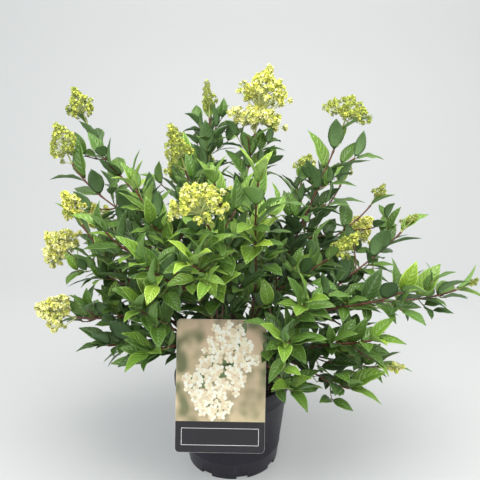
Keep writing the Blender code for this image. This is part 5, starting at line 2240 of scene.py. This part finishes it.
@dataclass
class PottingCompost:
    """Compost that fills the pot: an uneven crumbly top with bark chips and fibres on it."""

    bed: Material
    chips: list[Material]
    pot: NurseryPot
    edge_height: float = 0.1340
    top_height: float = 0.1385
    flat_radius: float = 0.022
    stem_radius: float = 0.018
    rings: int = 26
    sides: int = 96
    lump: float = 0.0016
    lump_drop: float = 0.75
    lump_share: float = 0.5
    calm_share: float = 0.2
    chip_count: int = 900
    chip_margin: float = 0.005
    chip_places: Pair = (0.045, 1.0)
    chip_turns: Pair = (0.0, 6.28)
    chip_leans: Pair = (-0.5, 0.5)
    chip_rise: float = 0.6
    chip_size: Pair = (0.0012, 0.0048)
    chip_width: Pair = (0.25, 0.6)
    chip_thickness: Pair = (0.10, 0.3)
    chip_wear: Pair = (0.6, 1.0)
    chip_inks: tuple[int, ...] = (0, 0, 1, 1, 2)

    def _height(self, radius: float, angle: float) -> float:
        """Work out the height of the compost's top.

        Args:
            radius: Distance from the pot's middle.
            angle: Angle round it.

        Returns:
            The height.
        """
        edge = self.pot.inner_radius(self.edge_height)
        share = min(max((radius - self.flat_radius) / (edge - self.flat_radius), 0.0), 1.0)
        x, y = radius * cos(angle), radius * sin(angle)
        lumps = sin(310.0 * x + 2.0 * sin(190.0 * y)) * sin(290.0 * y + 1.0)
        lumps += 0.5 * sin(830.0 * x + 710.0 * y) * sin(610.0 * x - 540.0 * y)
        level = self.top_height + (self.edge_height - self.top_height) * share
        calm = 1.0 if radius > self.stem_radius else self.calm_share
        return level - self.lump * self.lump_drop + self.lump * self.lump_share * lumps * calm

    def build(self) -> None:
        """Build the bed and strew the chips on it."""
        pot, low = self.pot, self.pot.floor + CLEARANCE
        edge = pot.inner_radius(self.edge_height) - 2.0 * CLEARANCE
        profile = [(0.0, low), (pot.inner_radius(pot.floor) - 2.0 * CLEARANCE, low)]
        profile += [(edge * ring / self.rings, self.top_height) for ring in range(self.rings, 0, -1)]
        profile.append((0.0, self._height(0.0, 0.0)))

        def uneven(radius: float, height: float, angle: float) -> Pair:
            """Return the radius and height of a point with the lumps of the top."""
            return radius, height if height == low else self._height(radius, angle)

        shape = Shape()
        shape.add(*turned(profile, self.sides, uneven))
        dress(shape.build("compost_bed", [self.bed]), Slot.COMPOST, "compost")
        self._strew()

    def _strew(self) -> None:
        """Strew bark chips and pale fibres over the bed."""
        draw, shape = random.Random(FINE_SEED), Shape()
        edge = self.pot.inner_radius(self.edge_height) - self.chip_margin
        corners = np.array(list(itertools.product((-1.0, 1.0), repeat=3)))
        tris = [(0, 1, 3), (0, 3, 2), (4, 6, 7), (4, 7, 5), (0, 4, 5), (0, 5, 1),
                (2, 3, 7), (2, 7, 6), (0, 2, 6), (0, 6, 4), (1, 5, 7), (1, 7, 3)]
        for _ in range(self.chip_count):
            radius, angle = edge * sqrt(draw.uniform(*self.chip_places)), draw.uniform(0.0, tau)
            long = draw.uniform(*self.chip_size)
            shares = (1.0, draw.uniform(*self.chip_width), draw.uniform(*self.chip_thickness))
            halves = np.array([long * share for share in shares]) / 2.0
            wear = np.array([[draw.uniform(*self.chip_wear) for _ in range(3)] for _ in range(8)])
            turn = Matrix.Rotation(draw.uniform(*self.chip_turns), 3, "Z")
            turn = turn @ Matrix.Rotation(draw.uniform(*self.chip_leans), 3, "X")
            level = self._height(radius, angle) + halves[2] * self.chip_rise
            place = np.array((radius * cos(angle), radius * sin(angle), level))
            body = (corners * halves * wear) @ np.array(turn).T + place
            shape.add(body, tris, draw.choice(self.chip_inks))
        dress(shape.build("compost_chips", self.chips, smooth=False), Slot.COMPOST)


def oval(points: int, along: float, wide: float, ahead: float = 0.0) -> Outline:
    """Return an oval's outline, anticlockwise, by its reach in X and in Y and the X of its middle."""
    turns = [tau * k / points for k in range(points)]
    return [complex(ahead + along * cos(turn), wide * sin(turn)) for turn in turns]


def box(low_x: float, high_x: float, low_y: float, high_y: float) -> Outline:
    """Return a rectangle's outline, anticlockwise from its upper right corner."""
    return [complex(high_x, high_y), complex(low_x, high_y), complex(low_x, low_y), complex(high_x, low_y)]


def printed_leaf(steps: int = 9, wide: float = 0.24, fullness: float = 0.85) -> Outline:
    """Return the outline of a pointed leaf of length one, anticlockwise."""
    side = [complex(k / steps, wide * sin(pi * (k / steps) ** fullness)) for k in range(steps + 1)]
    return [point.conjugate() for point in side[:-1]] + side[:0:-1]


class Ink(IntEnum):
    """Inks of the card by their number, with three petal shades in a row."""

    GROUND = 0
    BAND = 1
    PETAL = 2
    MIDDLE = 5
    LEAF = 6
    LINE = 7
    RIB = 8


@dataclass
class PictureCard:
    """Printed card: scattered florets and leaves on a soft tan ground over a dark band."""

    place: CardPlace
    board: Material
    inks: list[Material]
    shape: Shape = field(default_factory=Shape)
    band_height: float = 0.0465
    edge: float = 0.0002
    ink: float = 0.00003
    frame_inset: float = 0.009
    frame_low: float = 0.011
    frame_high: float = 0.010
    frame_line: float = 0.0006
    floret_rows: int = 16
    floret_places: Floats = (-3.4, -2.5, -1.7, -0.9, 0.0, 0.9, 1.7, 2.5, 3.4)
    floret_step: complex = 0.006 - 0.0095j
    floret_size: Pair = (0.0052, 0.0080)
    floret_margin: float = 0.020
    floret_reach: float = 0.52
    floret_sweep: float = 0.42
    floret_scatter: Pair = (0.005, 0.004)
    leaves: int = 20
    leaf_size: Pair = (0.016, 0.026)
    leaf_reach: float = 0.62
    leaf_rise: float = 0.45
    leaf_scatter: float = 0.022

    def _print(self, outline: Outline, layer: int, ink: int, centre: complex = 0j,
               turn: complex = 1.0) -> None:
        """Print a thin plate on the card's face.

        Args:
            outline: Its outline, anticlockwise.
            layer: How many layers of ink lie under it.
            ink: Number of its ink.
            centre: Where the middle of the drawing goes.
            turn: Size and turn of the outline there, as one factor.
        """
        matrix, back, count = self.place.matrix(), self.place.thickness, len(outline)
        points, face = [centre + turn * point for point in outline], back + self.ink * (layer + 1)
        levels = [(point, back) for point in points]
        levels += [(point, face) for point in (*points, sum(points) / count)]
        verts = [matrix @ Vector((point.real, point.imag, level)) for point, level in levels]
        self.shape.add(verts, band(0, 2, count) + fan(2 * count, count, count, True), ink)

    def _round_off(self, corners: Outline, radii: Sequence[float]) -> Outline:
        """Round the corners of a rectangle.

        Args:
            corners: Its outline.
            radii: The radius at each corner.

        Returns:
            The outline, anticlockwise.
        """
        outline, middle = [], (corners[0] + corners[2]) / 2.0
        for quarter, (corner, radius) in enumerate(zip(corners, radii)):
            out = corner - middle
            corner -= complex(copysign(radius, out.real), copysign(radius, out.imag))
            turns = [90.0 * quarter + 22.5 * step for step in range(5 if radius > 0.0 else 1)]
            outline += [corner + rect(radius, radians(turn)) for turn in turns]
        return outline

    def build(self) -> None:
        """Give the card its board and print on it."""
        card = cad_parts["picture_card"]
        card.data.materials.clear()
        card.data.materials.append(self.board)
        half, low, r, edge = self.place.width / 2.0, -self.place.below_lip, self.place.corner, self.edge
        high, top, side = low + self.place.height, low + self.band_height, half - edge
        self._print(self._round_off(box(-side, side, top, high - edge), (r, r, 0.0, 0.0)), 0, Ink.GROUND)
        self._print(self._round_off(box(-side, side, low + edge, top), (0.0, 0.0, r, r)), 0, Ink.BAND)
        x, line = half - self.frame_inset, self.frame_line
        bottom, up = low + self.frame_low, top - self.frame_high
        for sides in ((-x, x, bottom, bottom + line), (-x, x, up - line, up),
                      (-x, line - x, bottom, up), (x - line, x, bottom, up)):
            self._print(box(*sides), 1, Ink.LINE)
        self._print_garland(half, top, high)
        dress(self.shape.build("card_print", self.inks, smooth=False), Slot.CARD)

    def _print_garland(self, half: float, low: float, high: float) -> None:
        """Print a loose garland of florets and leaves that crosses the ground from corner to corner.

        Args:
            half: Half the card's width.
            low: Height of the ground's foot.
            high: Height of its top.
        """
        draw = random.Random(FINE_SEED + 5)
        petal, dot, leaf = oval(7, 0.50, 0.44, 0.52), oval(7, 0.12, 0.12), printed_leaf()
        rib = [0.04 - 0.006j, 0.90 - 0.002j, 0.90 + 0.002j, 0.04 + 0.006j]
        wide, tall = self.leaf_reach, self.leaf_scatter
        for _ in range(self.leaves):
            x, angle = draw.uniform(-wide, wide) * half, draw.uniform(0.0, tau)
            y = (low + high) / 2.0 + (high - low) * self.leaf_rise * x / half + draw.uniform(-tall, tall)
            turn = rect(draw.uniform(*self.leaf_size), angle)
            self._print(leaf, 2, Ink.LEAF, complex(x, y), turn)
            self._print(rib, 3, Ink.RIB, complex(x, y), turn)
        margin, reach, (wide, tall) = self.floret_margin, self.floret_reach, self.floret_scatter
        for row in range(self.floret_rows):
            share = row / (self.floret_rows - 1)
            rise = 0.5 - self.floret_sweep * cos(pi * share)
            height = low + margin + (high - low - 2.0 * margin) * rise
            middle = complex(half * (2.0 * reach * share - reach), height)
            for column, place in enumerate(self.floret_places):
                spread = complex(draw.uniform(-wide, wide), draw.uniform(-tall, tall))
                centre, size = middle + spread + place * self.floret_step, draw.uniform(*self.floret_size)
                if abs(centre.real) >= half - size or not low + size < centre.imag < high - size:
                    continue
                turn = rect(size, draw.uniform(0.0, 1.57))
                layer, shade = 3 + 3 * ((row + column) % 3), draw.randrange(3)
                for k in range(4):
                    ink = Ink.PETAL + (shade + k) % 3
                    self._print(petal, layer + k % 2, ink, centre, turn * 1j ** k)
                self._print(dot, layer + 2, Ink.MIDDLE, centre, turn)


# Studio


@dataclass
class Studio:
    """Pale floor and backdrop, soft lights and the camera at the photograph's viewing angle."""

    camera_place: Triple = (0.012, -0.88, 0.635)
    camera_pitch: float = 16.5
    lens: float = 45.0
    sensor: float = 36.0
    near: float = 0.05
    aim: Triple = (0.0, 0.0, 0.33)
    floor_half: float = 3.0
    wall_y: float = 1.6
    wall_height: float = 3.2
    sweep_radius: float = 0.8
    sweep_steps: int = 12
    floor_colour: Triple = (0.320, 0.325, 0.325)
    floor_roughness: float = 0.6
    glow_colour: Triple = (0.97, 1.0, 1.0)
    glow: float = 0.225
    air_colour: Triple = (0.92, 0.96, 1.0)
    air_strength: float = 0.66
    lights: tuple = (
        ("top_light", (0.1, -0.3, 2.0), 1.5, 50.0, (1.0, 0.99, 0.94)),
        ("left_light", (-1.7, -1.0, 1.3), 1.2, 20.0, (0.98, 0.99, 1.0)),
        ("right_light", (1.6, -0.9, 1.5), 1.2, 22.0, (1.0, 0.99, 0.95)),
        ("front_light", (0.0, -2.0, 1.2), 1.0, 10.0, (1.0, 1.0, 0.98)),
    )

    def _camera(self) -> None:
        """Set up the camera."""
        data = bpy.data.cameras.new("camera")
        data.lens, data.sensor_width, data.sensor_fit = self.lens, self.sensor, "HORIZONTAL"
        data.clip_start = self.near
        camera = put("camera", data)
        camera.location = self.camera_place
        camera.rotation_euler = (radians(90.0 - self.camera_pitch), 0.0, 0.0)
        bpy.context.scene.camera = camera

    def _sweep(self) -> None:
        """Build the floor with the backdrop that it curves up into."""
        r, half = self.sweep_radius, self.floor_half
        angles = [pi / 2.0 * step / self.sweep_steps for step in range(self.sweep_steps + 1)]
        curve = [(self.wall_y - r + r * sin(angle), r - r * cos(angle)) for angle in angles]
        line = [(-half, 0.0), *curve, (self.wall_y, self.wall_height)]
        mesh = bpy.data.meshes.new("studio_sweep")
        faces = [(2 * i, 2 * i + 1, 2 * i + 3, 2 * i + 2) for i in range(len(line) - 1)]
        mesh.from_pydata([(x, y, z) for y, z in line for x in (-half, half)], [], faces)
        mesh.shade_smooth()
        material = bpy.data.materials.new("studio_paper")
        material.use_nodes = True
        values = {"Base Color": (*self.floor_colour, 1.0), "Roughness": self.floor_roughness,
                  "Emission Color": (*self.glow_colour, 1.0), "Emission Strength": self.glow}
        for title, value in values.items():
            material.node_tree.nodes["Principled BSDF"].inputs[title].default_value = value
        mesh.materials.append(material)
        put("studio_sweep", mesh)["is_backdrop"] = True

    def build(self) -> None:
        """Set up the whole studio."""
        scene = bpy.context.scene
        scene.view_settings.view_transform = "Standard"
        scene.world = bpy.data.worlds.new("studio_world")
        scene.world.use_nodes = True
        air = scene.world.node_tree.nodes["Background"].inputs
        air["Color"].default_value = (*self.air_colour, 1.0)
        air["Strength"].default_value = self.air_strength
        for name, place, size, power, colour in self.lights:
            light = bpy.data.lights.new(name, "AREA")
            light.shape, light.size, light.energy, light.color = "SQUARE", size, power, colour
            lamp = put(name, light)
            lamp.location = place
            lamp.rotation_euler = (Vector(self.aim) - Vector(place)).to_track_quat("-Z", "Y").to_euler()
        self._camera()
        self._sweep()


# Finishes


# Leaf colours by tone; the darkest tone is partly painted shade for the inside of the plant.
LEAF_COLOURS = {
    Tone.DEEP: ((0.037, 0.083, 0.011), (0.080, 0.160, 0.050), (0.072, 0.150, 0.034), (0.090, 0.165, 0.062)),
    Tone.MID: ((0.078, 0.160, 0.018), (0.130, 0.245, 0.075), (0.130, 0.245, 0.052), (0.130, 0.230, 0.080)),
    Tone.FRESH: ((0.148, 0.270, 0.026), (0.220, 0.370, 0.100), (0.240, 0.390, 0.070), (0.200, 0.350, 0.095)),
    Tone.LIME: ((0.250, 0.390, 0.034), (0.360, 0.520, 0.120), (0.400, 0.560, 0.100), (0.300, 0.460, 0.110)),
}


def leaf_finishes() -> list[Finish]:
    """List the finishes of the leaves.

    Returns:
        Blade, midrib, rim and underside for each tone.
    """
    finishes = []
    for tone, (blade, vein, rim, under) in LEAF_COLOURS.items():
        name = tone.name.lower()
        finishes += [
            Finish("blade_" + name, blade, 0.34, 45.0, 0.14, 0.03, Pattern.VEINED, vein, 0.44, 0.0009, 0.48),
            Finish("rib_" + name, vein, 0.45, amount=0.08),
            Finish("rim_" + name, rim, 0.45, amount=0.10),
            Finish("underside_" + name, under, 0.62, 45.0, 0.08, 0.02, Pattern.VEINED, vein, 0.25, 0.0004),
        ]
    return finishes


# Each row: name, colour, roughness, then scale, amount and hue of the mottling, then pattern with the
# colour and share of its marks, depth of the relief, and specular level

STEM_FINISHES = (
    Finish("stem_woody", (0.085, 0.042, 0.028), 0.62, 90.0, 0.20, 0.02, Pattern.WOODY,
           (0.24, 0.16, 0.11), 0.6, 0.0005),
    Finish("stem_red", (0.125, 0.044, 0.028), 0.48, 80.0, 0.18, 0.02, Pattern.WOODY,
           (0.32, 0.18, 0.11), 0.5, 0.0002),
    Finish("flower_stalk", (0.330, 0.360, 0.110), 0.55, 120.0, 0.15, 0.06),
    Finish("twig_green", (0.190, 0.250, 0.060), 0.55, 120.0, 0.15, 0.06),
    Finish("petiole_red", (0.170, 0.110, 0.040), 0.50, 150.0, 0.15, 0.06),
)

BLOSSOM_FINISHES = (
    Finish("bud_green", (0.290, 0.340, 0.058), 0.55, 220.0, 0.16, 0.05),
    Finish("floret_lime", (0.450, 0.510, 0.080), 0.60, 200.0, 0.12, 0.04),
    Finish("floret_lemon", (0.700, 0.700, 0.130), 0.60, 200.0, 0.10, 0.03),
    Finish("floret_cream", (0.840, 0.820, 0.400), 0.60, 200.0, 0.08, 0.03),
    Finish("panicle_branch", (0.500, 0.540, 0.220), 0.55, 160.0, 0.14, 0.04),
)

BARK = Finish("bark", (0.110, 0.066, 0.046), 0.72, 70.0, 0.24, 0.02, Pattern.WOODY,
              (0.30, 0.23, 0.17), 0.6, 0.0010)
POT_PLASTIC = Finish("pot_plastic", (0.0108, 0.0092, 0.0170), 0.40, 30.0, 0.12, 0.02, Pattern.SCUFFED,
                     (0.060, 0.057, 0.066), 0.4, 0.00005, 0.32)
COMPOST = Finish("compost_moist", (0.030, 0.019, 0.012), 0.92, 90.0, 0.30, 0.02, Pattern.CRUMBLY,
                 (0.16, 0.10, 0.06), 0.7, 0.0016)
CHIP_FINISHES = (
    Finish("chip_dark", (0.040, 0.024, 0.015), 0.90, 200.0, 0.25),
    Finish("chip_bark", (0.105, 0.060, 0.034), 0.88, 200.0, 0.25),
    Finish("chip_fibre", (0.230, 0.160, 0.095), 0.85, 200.0, 0.20),
)
CARD_BOARD = Finish("card_board", (0.62, 0.60, 0.56), 0.45, 30.0, 0.05, 0.02, Pattern.SCUFFED,
                    (0.45, 0.43, 0.40), 0.3)
CARD_INKS = (
    Finish("ink_ground", (0.600, 0.500, 0.300), 0.45, 16.0, 0.30, 0.14, Pattern.HAZY,
           (0.090, 0.120, 0.040), 0.85),
    Finish("ink_band", (0.010, 0.009, 0.013), 0.42, 20.0, 0.10),
    Finish("ink_cream", (0.840, 0.780, 0.590), 0.34, 90.0, 0.08),
    Finish("ink_blush", (0.760, 0.640, 0.440), 0.34, 90.0, 0.10),
    Finish("ink_ivory", (0.860, 0.840, 0.720), 0.34, 90.0, 0.06),
    Finish("ink_middle", (0.620, 0.560, 0.240), 0.34, 90.0, 0.10),
    Finish("ink_leaf", (0.110, 0.170, 0.055), 0.34, 70.0, 0.16, 0.04),
    Finish("ink_line", (0.800, 0.800, 0.780), 0.34, 60.0, 0.04),
    Finish("ink_rib", (0.360, 0.420, 0.200), 0.34, 60.0, 0.06),
)


def main() -> None:
    """Build the studio and the potted shrub, piece by piece."""
    logging.basicConfig(level=logging.INFO, format="%(message)s")
    cad_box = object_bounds()
    Studio().build()
    effects = Effects()

    def made(finishes: Iterable[Finish]) -> list[Material]:
        """Return the materials of some finishes."""
        return [finish.make(effects) for finish in finishes]

    place, pot = CardPlace(), NurseryPot(POT_PLASTIC.make(effects))
    shrub, wood = Shrub(place), Wood(BARK.make(effects))
    shrub.grow()
    wood.build_crown()
    foliage = FoliageDresser(made(leaf_finishes()), made(STEM_FINISHES), LeafFactory(LeafPattern()))
    blossom = BlossomDresser(made(BLOSSOM_FINISHES))
    for bough, limb in shrub.laid:
        wood.build_bough(bough, limb)
        foliage.build(bough, shrub.sprays[bough.name])
        blossom.build(bough, shrub.sprays[bough.name])
    pot.build()
    PottingCompost(COMPOST.make(effects), made(CHIP_FINISHES), pot).build()
    PictureCard(place, CARD_BOARD.make(effects), made(CARD_INKS)).build()
    boxes = {"cad": cad_box, "visual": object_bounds()}
    json.dumps({name: [list(corner) for corner in box] for name, box in boxes.items()})


if __name__ == "__main__":
    main()
